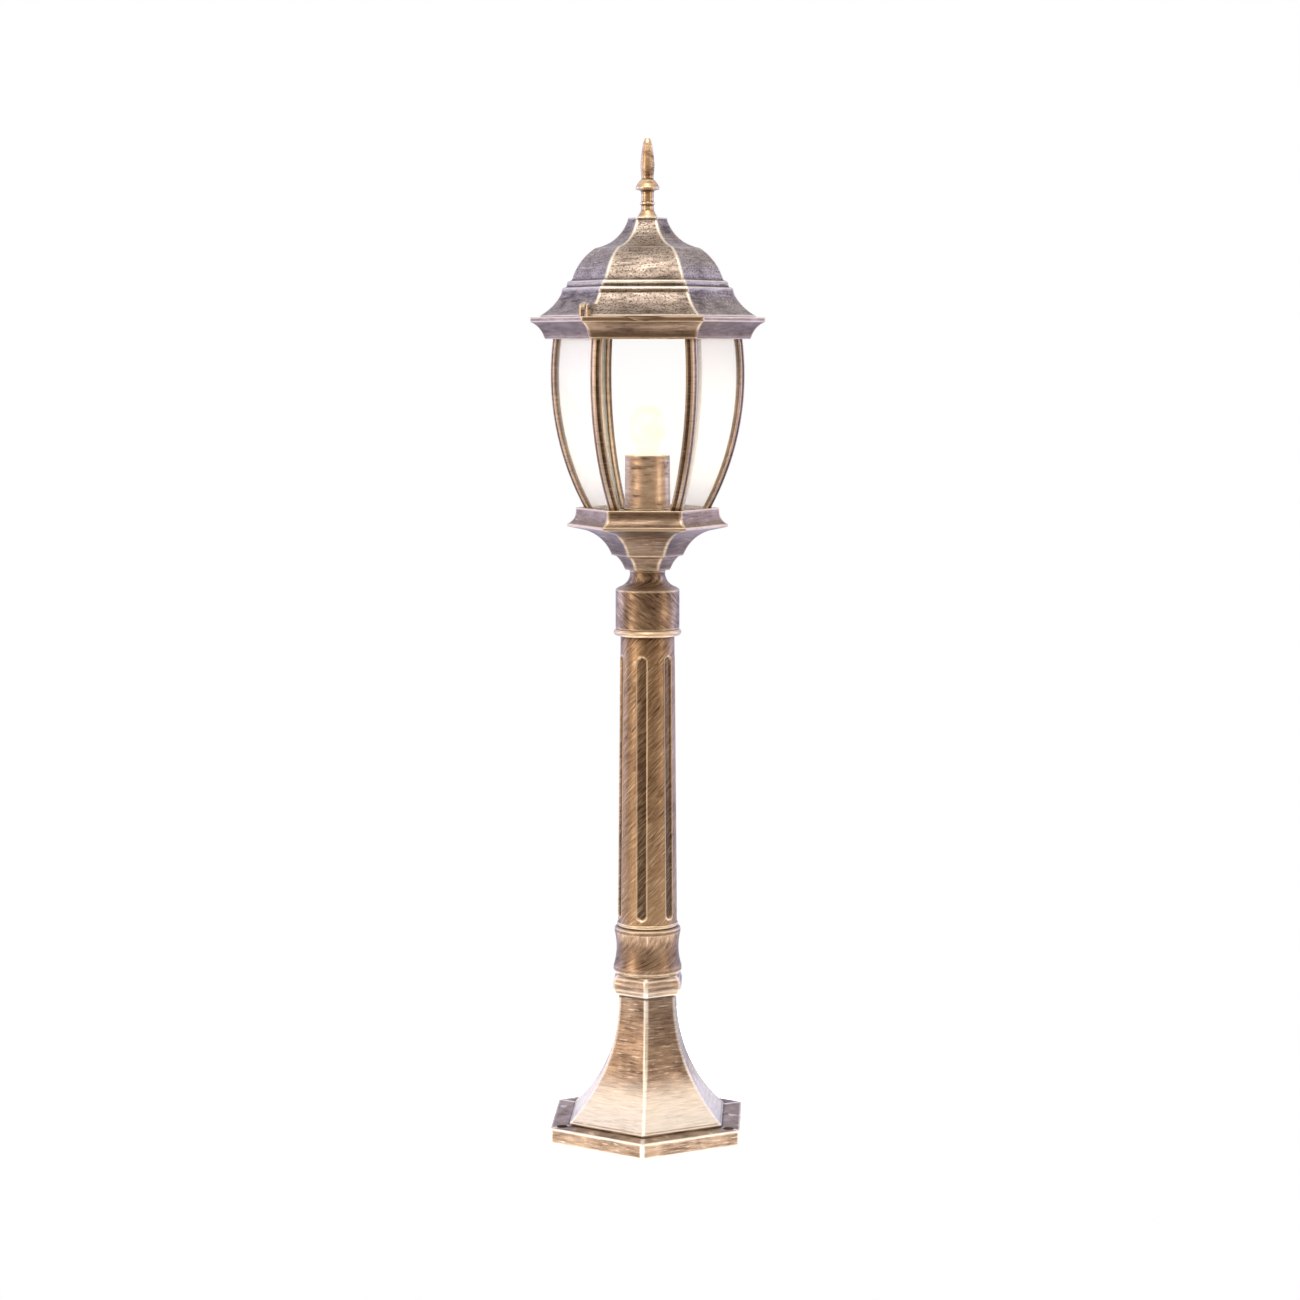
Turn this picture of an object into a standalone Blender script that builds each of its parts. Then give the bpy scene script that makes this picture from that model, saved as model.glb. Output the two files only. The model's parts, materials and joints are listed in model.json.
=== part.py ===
# Garden post lantern: a six-sided cast-aluminium lantern on a fluted post with a flared hexagonal foot.
# Metres, +Z up. The origin is on the ground at the centre of the foot, and the front is towards -Y.
# The foot has a corner to the front, and the lantern head has a flat to the front.

import math

import bmesh
import bpy
from mathutils import Matrix, Vector

MM = 0.001

# Clearances
GAP = 0.3 * MM  # between castings that touch
RUN = 0.4 * MM  # radial, round a pin, rod or screw
SWIVEL_GAP = 0.5 * MM  # radial, between the post's spigot and the fitter that turns on it

# Facets of round pieces
ROUND = 24
SMALL_ROUND = 12
HEX = 6
FACET_ROLL = 11  # degrees

# Foot
FLANGE_CORNER_R = 110 * MM
FLANGE_THICK = 16 * MM
LEDGE_RISE = 4 * MM  # low step between the flange and the flared part
FLARE_FOOT_R = FLANGE_CORNER_R - 24 * MM
FLARE_NECK_R = 32.5 * MM
FLARE_HEIGHT = 123.5 * MM
FLARE_SAGITTA = 14.5 * MM
BAND_CORNER_R = 39.5 * MM
BAND_HEIGHT = 21 * MM
FOOT_DECK = 5 * MM
FOOT_INNER_R = FLARE_FOOT_R - 6 * MM
FOOT_WALL = 4.6 * MM
ANCHOR_CIRCLE_R = FLANGE_CORNER_R - 13.5 * MM
ANCHOR_HOLE_R = 6 * MM
ANCHOR_COUNT = 3

# Post
POST_FOOT_R = 29.7 * MM
POST_TOP_R = 27 * MM
POST_WALL = 3 * MM
POST_EXPOSED = 290.8 * MM
POST_BEAD_R = POST_FOOT_R + 1 * MM
POST_BEAD_HEIGHT = 4.4 * MM
FLUTE_COUNT = 6
FLUTE_WIDTH = 9 * MM
FLUTE_DEPTH = 1.6 * MM
FLUTE_TOP_MARGIN = 20 * MM
FLUTE_BOTTOM_MARGIN = 6 * MM
FLUTE_TURN = -9  # degrees, from the front
SPIGOT_R = POST_TOP_R - 2 * MM
SPIGOT_LENGTH = 31 * MM

# Lower collar, which slips over the post
COLLAR_HEIGHT = 48 * MM
COLLAR_TOP_R = POST_FOOT_R + 3.7 * MM
COLLAR_WAIST_R = POST_FOOT_R + 1.7 * MM
COLLAR_BOTTOM_R = POST_FOOT_R + 4.8 * MM

# Trim ring and fitter
TRIM_RING_R = POST_TOP_R + 7 * MM
TRIM_RING_HEIGHT = 6 * MM
SKIRT_R = SPIGOT_R + 7 * MM
SKIRT_HEIGHT = 40.8 * MM
NECK_R = 17.6 * MM
NECK_HEIGHT = 18 * MM
NECK_WALL = 4 * MM
FITTER_DECK = 4 * MM
GRUB_R = 2.5 * MM
GRUB_ANGLES = (50, 130)
GRUB_RISE = 12 * MM

# Tie rod and its clamp
ROD_R = 5 * MM
ROD_BORE_R = 3.4 * MM
ROD_STICK_OUT = 2 * MM
NUT_R = 9.4 * MM
NUT_HEIGHT = 6 * MM
WASHER_R = 11 * MM
WASHER_THICK = 1.6 * MM
BRIDGE_Z = 40 * MM
BRIDGE_THICK = 4 * MM
BRIDGE_WIDTH = 24 * MM
CAP_PLATE_THICK = 3 * MM
TERMINAL_SIZE = (24 * MM, 18 * MM, 15 * MM)
TERMINAL_LEAN = 0.35 * MM  # towards the rod, from midway between the washer and the bridge end
LEAD_R = 2.5 * MM
LEAD_DROP = 12 * MM

# Cage
CAGE_HEIGHT = 167 * MM
CAGE_BULGE_R = 97 * MM  # largest corner radius of the ribs
CAGE_BULGE_DROP = 36 * MM  # its height below the eaves
CAGE_FOOT_R = 61.3 * MM  # corner radius where the ribs stand on the bowl
RIB_WING = 7.5 * MM
RIB_SKIN = 2.5 * MM
RIB_WEB = 1.3 * MM
RIB_DEPTH = 9 * MM
RIB_TAB = 3 * MM
RIB_TAB_REACH = 10 * MM
RIB_TAB_WIDTH = 9 * MM
RIB_STATIONS = 9
SCREW_R = 1.6 * MM
SCREW_HEAD_R = 3.4 * MM
SCREW_HEAD_HEIGHT = 2.2 * MM
GLASS_THICK = 2.2 * MM

# Bowl
BOWL_HEIGHT = 62.2 * MM
BOWL_WALL = 3.5 * MM
BOWL_RIM_R = CAGE_FOOT_R + 7 * MM + BOWL_WALL
BOWL_LIP_R = BOWL_RIM_R + 8.7 * MM
BOWL_LIP_DROP = 16.5 * MM
BOWL_LIP_THICK = 2.5 * MM
BOWL_STEP_R = 36 * MM
BOWL_STEP_RISE = 15 * MM
BOWL_BOTTOM_R = 22.3 * MM
BOWL_FLOOR = 5 * MM
SHELF_DROP = 5.3 * MM  # the shelf that the ribs and panes stand on lies below the rim
SHELF_THICK = 3.5 * MM
SHELF_INNER_R = CAGE_FOOT_R - RIB_DEPTH - RIB_TAB_REACH + 0.7 * MM

# Eaves
EAVES_HEIGHT = 21.5 * MM
EAVES_LIP_REACH = 14.6 * MM  # past the fascia
EAVES_LIP_HEIGHT = 4.7 * MM
EAVES_FASCIA_WALL = 3.2 * MM
EAVES_SHELF_RISE = 8 * MM
EAVES_SHELF_THICK = 5 * MM
EAVES_SEAT_ROOM = 5.5 * MM  # round the ribs' corners
NOTCH_WIDTH = 31 * MM
NOTCH_DEPTH = 4.4 * MM
NOTCH_LENGTH = 7 * MM

# Roof
ROOF_HEIGHT = 97.2 * MM
ROOF_SETBACK = 9.3 * MM  # of its foot from the eaves' lip
ROOF_SKIRT_HEIGHT = 22.7 * MM
ROOF_SKIRT_RUN = 21.7 * MM
ROOF_BEAD_STEP = 5.4 * MM
ROOF_BEAD_HEIGHT = 12 * MM
ROOF_DOME_STEP = 5.2 * MM
ROOF_TURN_RUN = 23.2 * MM  # in to where the dome's curve turns hollow
ROOF_TURN_DROP = 29.5 * MM
ROOF_CROWN_R = 19.8 * MM
ROOF_WALL = 3 * MM

# Hinge and closing screw
HINGE_ANGLE = 240
LATCH_ANGLE = 60
PIN_INSET = 6.3 * MM
PIN_RISE = 9.5 * MM
PIN_R = 1.5 * MM
PIN_HEAD_R = 2.6 * MM
PIN_HEAD = 1.2 * MM
KNUCKLE_WIDTH = 4.6 * MM
KNUCKLE_R = 4.2 * MM
KNUCKLE_REACH = 18.5 * MM
EAR_THICK = 2.4 * MM
EAR_R = 3.2 * MM
LUG_INSET = 6.8 * MM
LUG_RISE = 6.8 * MM
LUG_THICK = 4 * MM
LUG_WIDTH = 13 * MM
THUMB_R = 6.5 * MM
THUMB_HEIGHT = 7 * MM
THUMB_SHANK_R = 2 * MM
THUMB_ENGAGED = 4.8 * MM
LATCH_HOLE_R = 2.9 * MM
CLIP_R = 3.8 * MM
CLIP_THICK = 0.8 * MM

# Finial
FINIAL_HEIGHT = 77.7 * MM
FINIAL_BOSS_R = 10.4 * MM
FINIAL_SHAFT_R = 6.3 * MM
FINIAL_CAP_R = 11.8 * MM
FINIAL_TIP_R = 2.4 * MM
STUD_R = 2.8 * MM
STUD_LENGTH = 14 * MM
STUD_NUT_R = 6 * MM
STUD_NUT_HEIGHT = 4.5 * MM

# Lamp
HOLDER_STEM_R = 6.5 * MM
HOLDER_STEM_LENGTH = 49 * MM  # clear length between the bowl's nut and the dish
STEM_BORE_R = 3.4 * MM
DISH_R = 23.6 * MM
DISH_THICK = 2 * MM
HOLDER_R = 19.5 * MM
HOLDER_HEIGHT = 48 * MM
SLEEVE_TOP_R = 22.2 * MM
SLEEVE_FOOT_R = 22.8 * MM
SLEEVE_WALL = 0.9 * MM
SLEEVE_PROUD = 4 * MM
HOLDER_WELL = 30 * MM
HOLDER_WELL_R = 15.2 * MM
CONTACT_R = 5 * MM
SHELL_R = 14.2 * MM
SHELL_WALL = 0.6 * MM
SHELL_HEIGHT = 27 * MM
CAP_R = 13.1 * MM
CAP_HEIGHT = 25 * MM
CAP_SEAT = 26 * MM  # height of the cap's foot above the holder's foot
TIP_R = 4.5 * MM
TIP_HEIGHT = 2.6 * MM
BULB_R = 22.5 * MM
BULB_NECK_R = 14 * MM
BULB_NECK_LENGTH = 12.5 * MM
BULB_NECK_FLARE = 1.5 * MM
BULB_WALL = 1 * MM

# Heights, from the ground up
BASE_TOP = FLANGE_THICK + LEDGE_RISE + FLARE_HEIGHT + BAND_HEIGHT
COLLAR_Z = BASE_TOP + GAP
POST_Z = BASE_TOP + GAP
BEAD_Z = COLLAR_Z + COLLAR_HEIGHT + GAP
SHAFT_Z = BEAD_Z + POST_BEAD_HEIGHT
SHOULDER_Z = SHAFT_Z + POST_EXPOSED
FITTER_Z = SHOULDER_Z + GAP + TRIM_RING_HEIGHT + GAP
SKIRT_TOP_Z = FITTER_Z + SKIRT_HEIGHT
FITTER_TOP_Z = SKIRT_TOP_Z + NECK_HEIGHT
POST_TOP_Z = SHOULDER_Z + SPIGOT_LENGTH
BOWL_Z = FITTER_TOP_Z + GAP
RIM_Z = BOWL_Z + BOWL_HEIGHT
SHELF_Z = RIM_Z - SHELF_DROP
EAVES_Z = RIM_Z + CAGE_HEIGHT
EAVES_TOP_Z = EAVES_Z + EAVES_HEIGHT
EAVES_SHELF_Z = EAVES_Z + EAVES_SHELF_RISE
ROOF_Z = EAVES_TOP_Z + GAP
CROWN_Z = ROOF_Z + ROOF_HEIGHT
FINIAL_Z = CROWN_Z + GAP
DISH_Z = BOWL_Z + BOWL_FLOOR + GAP + NUT_HEIGHT + HOLDER_STEM_LENGTH
HOLDER_Z = DISH_Z + DISH_THICK + GAP

# The cage's curve, and what is built round its top
CAGE_SPREAD = CAGE_BULGE_R - CAGE_FOOT_R
CAGE_BULGE_Z = EAVES_Z - CAGE_BULGE_DROP
CAGE_CURVE_R = (CAGE_SPREAD**2 + (CAGE_BULGE_Z - SHELF_Z - GAP) ** 2) / (2 * CAGE_SPREAD)
CAGE_TOP_DROP = CAGE_CURVE_R - math.sqrt(CAGE_CURVE_R**2 - (EAVES_SHELF_Z - GAP - CAGE_BULGE_Z) ** 2)
CAGE_TOP_R = CAGE_BULGE_R - CAGE_TOP_DROP
EAVES_SHELF_INNER_R = CAGE_TOP_R - RIB_DEPTH - RIB_TAB_REACH - 2.5 * MM
EAVES_SEAT_R = CAGE_TOP_R + EAVES_SEAT_ROOM
EAVES_FASCIA_R = EAVES_SEAT_R + EAVES_FASCIA_WALL
EAVES_LIP_R = EAVES_FASCIA_R + EAVES_LIP_REACH
ROOF_FOOT_R = EAVES_LIP_R - ROOF_SETBACK
ROOF_SKIRT_R = ROOF_FOOT_R - ROOF_SKIRT_RUN
ROOF_BEAD_R = ROOF_SKIRT_R - ROOF_BEAD_STEP
ROOF_DOME_R = ROOF_BEAD_R - ROOF_DOME_STEP
ROOF_TURN_R = ROOF_DOME_R - ROOF_TURN_RUN
PIN_Z = EAVES_TOP_Z + PIN_RISE
PIN_RADIUS = EAVES_LIP_R - PIN_INSET
LATCH_RADIUS = EAVES_LIP_R - LUG_INSET
LUG_Z = EAVES_TOP_Z + LUG_RISE

FLAT = math.cos(math.pi / HEX)  # a hexagon's flat radius over its corner radius

lantern = bpy.data.collections.new("garden_post_lantern")
cutters = bpy.data.collections.new("cutters")


def clear_scene():
    for old in list(bpy.data.objects):
        bpy.data.objects.remove(old)
    bpy.context.scene.collection.children.link(lantern)
    bpy.context.scene.collection.children.link(cutters)


def material(name, colour, roughness, metallic):
    made = bpy.data.materials.new(name)
    made.use_nodes = True
    shader = made.node_tree.nodes["Principled BSDF"]
    shader.inputs["Base Color"].default_value = (*colour, 1)
    shader.inputs["Roughness"].default_value = roughness
    shader.inputs["Metallic"].default_value = metallic
    return made


def place(name, mesh, look, home=lantern):
    part = bpy.data.objects.new(name, mesh)
    home.objects.link(part)
    if look:
        mesh.materials.append(material(name, *look))
    else:
        part.hide_render = True
        part.display_type = "WIRE"
    return part


def from_bmesh(name, shape, look, home=lantern):
    mesh = bpy.data.meshes.new(name)
    shape.to_mesh(mesh)
    shape.free()
    return place(name, mesh, look, home)


def arc(start, end, sag, count=6):
    """Points after start up to end. A positive sag bends the curve to the left of the way it runs."""
    (x0, y0), (x1, y1) = start, end
    length = math.hypot(x1 - x0, y1 - y0)
    normal = (-(y1 - y0) / length, (x1 - x0) / length)
    points = []
    for step in range(1, count + 1):
        t = step / count
        push = sag * 4 * t * (1 - t)
        points.append((x0 + (x1 - x0) * t + normal[0] * push, y0 + (y1 - y0) * t + normal[1] * push))
    return points


def turned(name, profile, look, steps=ROUND, turn=0, z=0, centre=(0, 0), closed=True, home=lantern):
    """A solid of revolution. The profile runs down its outer side, then back up its inner side or the axis."""
    shape = bmesh.new()
    points = [shape.verts.new((radius, 0, height)) for radius, height in profile]
    for first, second in zip(points, points[1:]):
        shape.edges.new((first, second))
    if closed:
        shape.edges.new((points[-1], points[0]))
    part = from_bmesh(name, shape, look, home)
    part.location = (*centre, z)
    part.rotation_euler.z = math.radians(turn)
    screw = part.modifiers.new("turn", "SCREW")
    screw.steps = steps
    screw.render_steps = steps
    screw.use_merge_vertices = True
    screw.merge_threshold = 0.00005
    screw.use_smooth_shade = False
    return part


def tube(name, outer, inner, height, look, z=0, steps=ROUND, centre=(0, 0), turn=0):
    profile = [(outer, height), (outer, 0), (inner, 0), (inner, height)]
    return turned(name, profile, look, steps, turn, z, centre)


def prism(name, outline, height, look, frame=Matrix(), home=lantern):
    """An outline in the frame's XY plane, raised along its Z."""
    shape = bmesh.new()
    face = shape.faces.new([shape.verts.new((x, y, 0)) for x, y in outline])
    raised = bmesh.ops.extrude_face_region(shape, geom=[face])
    top = [item for item in raised["geom"] if isinstance(item, bmesh.types.BMVert)]
    bmesh.ops.translate(shape, verts=top, vec=(0, 0, height))
    bmesh.ops.recalc_face_normals(shape, faces=shape.faces)
    shape.transform(frame)
    return from_bmesh(name, shape, look, home)


def rod(name, radius, start, end, look=None, steps=SMALL_ROUND, home=cutters):
    """A cylinder between two points."""
    start, end = Vector(start), Vector(end)
    shape = bmesh.new()
    bmesh.ops.create_cone(
        shape, segments=steps, radius1=radius, radius2=radius, depth=(end - start).length, cap_ends=True
    )
    turn = (end - start).to_track_quat("Z", "Y").to_matrix().to_4x4()
    # The roll keeps its facets off the radial edges of the parts that it meets.
    shape.transform(Matrix.Translation((start + end) / 2) @ turn @ corner_frame(FACET_ROLL))
    return from_bmesh(name, shape, look, home)


def lofted(name, sections, look):
    """Joins sections that have the same number of points into one closed skin."""
    shape = bmesh.new()
    loops = [[shape.verts.new(point) for point in section] for section in sections]
    shape.faces.new(loops[0])
    shape.faces.new(loops[-1])
    for low, high in zip(loops, loops[1:]):
        for index in range(len(low)):
            after = (index + 1) % len(low)
            shape.faces.new((low[index], low[after], high[after], high[index]))
    bmesh.ops.recalc_face_normals(shape, faces=shape.faces)
    return from_bmesh(name, shape, look)


def combine(part, other, operation="DIFFERENCE"):
    boolean = part.modifiers.new(other.name, "BOOLEAN")
    boolean.object = other
    boolean.operation = operation
    boolean.solver = "EXACT"


def nut(name, corner_r, bolt_r, height, z):
    body = prism(name, disc_outline(corner_r, HEX), height, STEEL, Matrix.Translation((0, 0, z)))
    combine(body, rod(name + "_bore", bolt_r + RUN, (0, 0, z - height), (0, 0, z + 2 * height), steps=16))


def corner_frame(degrees):
    """X points out through a corner or a flat, Y runs round, Z is up."""
    return Matrix.Rotation(math.radians(degrees), 4, "Z")


def upright_frame(degrees, radius, across):
    """X points out, Y is up, and Z runs round: for plates that stand in a radial plane."""
    spin = corner_frame(degrees)
    stand = Matrix(((1, 0, 0, radius), (0, 0, -1, across), (0, 1, 0, 0), (0, 0, 0, 1)))
    return spin @ stand


def disc_outline(radius, count=SMALL_ROUND, centre=(0, 0), start=0, end=360):
    full = end - start >= 360
    steps = count if full else count + 1
    angles = [math.radians(start + (end - start) * step / count) for step in range(steps)]
    return [(centre[0] + radius * math.cos(angle), centre[1] + radius * math.sin(angle)) for angle in angles]


def circle_point(degrees, radius, z):
    return corner_frame(degrees) @ Vector((radius, 0, z))


# Looks: colour, roughness, metallic
BRONZE = ((0.36, 0.24, 0.13), 0.42, 0.75)
BRONZE_LIGHT = ((0.5, 0.36, 0.2), 0.38, 0.8)
GOLD = ((0.66, 0.48, 0.24), 0.32, 0.9)
STEEL = ((0.55, 0.55, 0.56), 0.35, 1)
BRASS = ((0.78, 0.6, 0.3), 0.3, 1)
CERAMIC = ((0.86, 0.85, 0.82), 0.3, 0)
CLEAR = ((0.9, 0.93, 0.95), 0.05, 0)
OPAL = ((1, 0.95, 0.85), 0.2, 0)
PLASTIC = ((0.8, 0.78, 0.72), 0.5, 0)
CABLE = ((0.08, 0.08, 0.08), 0.6, 0)


def flare_outer():
    foot = (FLARE_FOOT_R, FLANGE_THICK + LEDGE_RISE)
    neck = (FLARE_NECK_R, FLANGE_THICK + LEDGE_RISE + FLARE_HEIGHT)
    return [neck] + arc(neck, foot, -FLARE_SAGITTA, 10)


def radius_at(profile, z):
    """Radius of a falling profile at a height."""
    for (r0, z0), (r1, z1) in zip(profile, profile[1:]):
        if z1 <= z <= z0:
            return r0 + (r1 - r0) * (z0 - z) / (z0 - z1)
    return profile[-1][0]


def bridge_reach():
    """Half the length of the bar across the inside of the foot."""
    return (radius_at(flare_outer(), BRIDGE_Z + BRIDGE_THICK) - FOOT_WALL) * FLAT - GAP


def build_foot():
    flare = flare_outer()
    band_z = flare[0][1]
    crown = [
        (0, BASE_TOP),
        (BAND_CORNER_R * 0.9, BASE_TOP),
        (BAND_CORNER_R * 0.97, BASE_TOP - BAND_HEIGHT * 0.14),
        (BAND_CORNER_R, BASE_TOP - BAND_HEIGHT * 0.36),
        (BAND_CORNER_R, BASE_TOP - BAND_HEIGHT * 0.68),
        (BAND_CORNER_R * 0.95, BASE_TOP - BAND_HEIGHT * 0.9),
        (FLARE_NECK_R + 1 * MM, band_z + 1 * MM),
    ]
    step_r = FLARE_FOOT_R + 2.5 * MM
    flange = [
        (step_r, FLANGE_THICK + LEDGE_RISE * 0.55),
        (step_r, FLANGE_THICK),
        (FLANGE_CORNER_R - 1.2 * MM, FLANGE_THICK),
        (FLANGE_CORNER_R, FLANGE_THICK - 1.2 * MM),
        (FLANGE_CORNER_R, 0),
        (FOOT_INNER_R, 0),
    ]
    inner = [(radius - FOOT_WALL, height) for radius, height in reversed(flare)]
    inner = [(min(radius, FOOT_INNER_R), height) for radius, height in inner]
    top = [(inner[-1][0], BASE_TOP - FOOT_DECK), (0, BASE_TOP - FOOT_DECK)]
    foot = turned("foot_casting", crown + flare + flange + inner + top, BRONZE, HEX, 30, closed=False)
    combine(foot, rod("rod_hole", ROD_R + RUN, (0, 0, BASE_TOP - 2 * FOOT_DECK), (0, 0, BASE_TOP + FOOT_DECK)))
    for index in range(ANCHOR_COUNT):
        angle = 90 + 360 / ANCHOR_COUNT * index
        low = circle_point(angle, ANCHOR_CIRCLE_R, -FLANGE_THICK)
        high = circle_point(angle, ANCHOR_CIRCLE_R, 2 * FLANGE_THICK)
        combine(foot, rod(f"anchor_hole_{index + 1}", ANCHOR_HOLE_R, low, high, steps=16))

    half = bridge_reach()
    side = BRIDGE_WIDTH / 2
    outline = [(half, side), (-half, side), (-half, -side), (half, -side)]
    bridge = prism("foot_bridge", outline, BRIDGE_THICK, STEEL, Matrix.Translation((0, 0, BRIDGE_Z)))
    combine(bridge, rod("bridge_hole", ROD_R + RUN, (0, 0, 0), (0, 0, 2 * BRIDGE_Z)))
    return foot


def build_clamp():
    washer_z = BRIDGE_Z - GAP - WASHER_THICK
    nut_z = washer_z - GAP - NUT_HEIGHT
    rod_z = nut_z - ROD_STICK_OUT
    tube("foot_washer", WASHER_R, ROD_R + RUN, WASHER_THICK, STEEL, washer_z)
    nut("foot_nut", NUT_R, ROD_R, NUT_HEIGHT, nut_z)
    plate_z = POST_TOP_Z + GAP
    tube("post_cap_plate", SPIGOT_R - 1 * MM, ROD_R + RUN, CAP_PLATE_THICK, STEEL, plate_z)
    top_nut_z = plate_z + CAP_PLATE_THICK + GAP
    nut("post_nut", NUT_R, ROD_R, NUT_HEIGHT, top_nut_z)
    rod_top = top_nut_z + NUT_HEIGHT + ROD_STICK_OUT
    tube("tie_rod", ROD_R, ROD_BORE_R, rod_top - rod_z, STEEL, rod_z, 16)
    return rod_z


def build_wiring(rod_z):
    long_side, short_side, tall = TERMINAL_SIZE
    block_z = BRIDGE_Z - GAP - tall
    left = (WASHER_R + bridge_reach()) / 2 - TERMINAL_LEAN - long_side / 2
    outline = [(left, short_side / 2), (left, -short_side / 2)]
    outline += [(left + long_side, -short_side / 2), (left + long_side, short_side / 2)]
    prism("terminal_block", outline, tall, PLASTIC, Matrix.Translation((0, 0, block_z)))
    elbow = 1.4 * LEAD_R
    bend = (left - GAP - elbow - 0.4 * LEAD_R) / 2
    turn_z = rod_z - LEAD_DROP / 2
    route = [(0, HOLDER_Z - 2 * GAP), (0, turn_z)]
    route += [
        (bend - bend * math.cos(math.radians(angle)), turn_z - bend * math.sin(math.radians(angle)))
        for angle in range(20, 181, 20)
    ]
    enter_z = rod_z + ROD_STICK_OUT - GAP - LEAD_R
    for angle in (0, 30, 60, 90):
        turn = math.radians(angle)
        route.append((2 * bend + elbow * (1 - math.cos(turn)), enter_z - elbow * (1 - math.sin(turn))))
    route.append((left - GAP, enter_z))
    curve = bpy.data.curves.new("inner_lead", "CURVE")
    curve.dimensions = "3D"
    curve.bevel_depth = LEAD_R
    curve.bevel_resolution = 2
    curve.use_fill_caps = True
    line = curve.splines.new("POLY")
    line.points.add(len(route) - 1)
    for point, (x, z) in zip(line.points, route):
        point.co = (x, 0, z, 1)
    lead = bpy.data.objects.new("inner_lead", curve)
    curve.materials.append(material("inner_lead", *CABLE))
    lantern.objects.link(lead)


def build_post():
    rise = COLLAR_HEIGHT
    waist_sag = COLLAR_WAIST_R - (COLLAR_TOP_R + COLLAR_BOTTOM_R) / 2
    profile = [
        (COLLAR_TOP_R - 1.6 * MM, rise),
        (COLLAR_TOP_R, rise - 1.6 * MM),
        (COLLAR_TOP_R, rise - 5 * MM),
    ]
    profile += arc(profile[-1], (COLLAR_BOTTOM_R, 7 * MM), waist_sag, 6)
    profile += [(COLLAR_BOTTOM_R, 2 * MM), (COLLAR_BOTTOM_R - 1.6 * MM, 0)]
    profile += [(POST_FOOT_R + RUN, 0), (POST_FOOT_R + RUN, rise)]
    turned("lower_collar", profile, BRONZE_LIGHT, ROUND, 0, COLLAR_Z)

    top_bore = SPIGOT_R - POST_WALL
    outline = [
        (SPIGOT_R - 1 * MM, POST_TOP_Z),
        (SPIGOT_R, POST_TOP_Z - 1 * MM),
        (SPIGOT_R, SHOULDER_Z),
        (POST_TOP_R, SHOULDER_Z),
        (POST_FOOT_R, SHAFT_Z),
        (POST_BEAD_R, SHAFT_Z - POST_BEAD_HEIGHT * 0.25),
        (POST_BEAD_R, BEAD_Z + POST_BEAD_HEIGHT * 0.1),
        (POST_FOOT_R, BEAD_Z),
        (POST_FOOT_R, POST_Z),
        (POST_FOOT_R - POST_WALL, POST_Z),
        (top_bore, SHOULDER_Z),
        (top_bore, POST_TOP_Z),
    ]
    post = turned("fluted_post", outline, BRONZE, ROUND)
    low = SHAFT_Z + FLUTE_BOTTOM_MARGIN
    high = SHOULDER_Z - FLUTE_TOP_MARGIN
    half = FLUTE_WIDTH / 2
    middle = (low + high) / 2
    reach = (high - low) / 2 - half
    flute = disc_outline(half, 8, (reach, 0), -90, 90) + disc_outline(half, 8, (-reach, 0), 90, 270)
    mean_r = (POST_FOOT_R + POST_TOP_R) / 2
    taper = math.atan((POST_FOOT_R - POST_TOP_R) / POST_EXPOSED)
    for index in range(FLUTE_COUNT):
        spin = corner_frame(270 + FLUTE_TURN + 360 / FLUTE_COUNT * index)
        lean = Matrix.Rotation(-taper, 4, "Y")
        # The outline's X runs up the post and its Z points out.
        stand = Matrix(((0, 0, 1, 0), (0, 1, 0, 0), (-1, 0, 0, 0), (0, 0, 0, 1)))
        frame = spin @ Matrix.Translation((mean_r - FLUTE_DEPTH, 0, middle)) @ lean @ stand
        combine(post, prism(f"flute_{index + 1}", flute, 4 * FLUTE_DEPTH, None, frame, cutters))


def build_fitter():
    ring = TRIM_RING_HEIGHT
    profile = [
        (TRIM_RING_R - 1.8 * MM, ring),
        (TRIM_RING_R, ring * 0.7),
        (TRIM_RING_R, ring * 0.3),
        (TRIM_RING_R - 1.8 * MM, 0),
        (SPIGOT_R + SWIVEL_GAP, 0),
        (SPIGOT_R + SWIVEL_GAP, ring),
    ]
    turned("trim_ring", profile, GOLD, ROUND, 0, SHOULDER_Z + GAP)

    bore = SPIGOT_R + SWIVEL_GAP
    top = FITTER_TOP_Z - FITTER_Z
    deck = SKIRT_HEIGHT - FITTER_DECK
    well = NECK_R - NECK_WALL
    outline = [
        (NECK_R + 0.6 * MM, top),
        (NECK_R, top - 2 * MM),
        (NECK_R, top - 5 * MM),
    ]
    outline += arc(outline[-1], (SKIRT_R - 3 * MM, SKIRT_HEIGHT + 0.8 * MM), -1.6 * MM, 5)
    outline += [
        (SKIRT_R - 2 * MM, SKIRT_HEIGHT),
        (SKIRT_R, SKIRT_HEIGHT - 1.2 * MM),
        (SKIRT_R, 0),
        (bore, 0),
        (bore, deck),
        (well, deck),
        (well, top - FITTER_DECK),
        (HOLDER_STEM_R + RUN, top - FITTER_DECK),
        (HOLDER_STEM_R + RUN, top),
    ]
    fitter = turned("swivel_fitter", outline, BRONZE_LIGHT, ROUND, 0, FITTER_Z)
    for index, angle in enumerate(GRUB_ANGLES):
        z = FITTER_Z + GRUB_RISE
        inside = circle_point(angle, bore - 2 * MM, z)
        outside = circle_point(angle, SKIRT_R + 2 * MM, z)
        combine(fitter, rod(f"grub_hole_{index + 1}", GRUB_R + RUN, inside, outside))
        tip = circle_point(angle, bore + GAP, z)
        end = circle_point(angle, SKIRT_R - GAP, z)
        rod(f"grub_screw_{index + 1}", GRUB_R, tip, end, STEEL, SMALL_ROUND, lantern)


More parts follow.
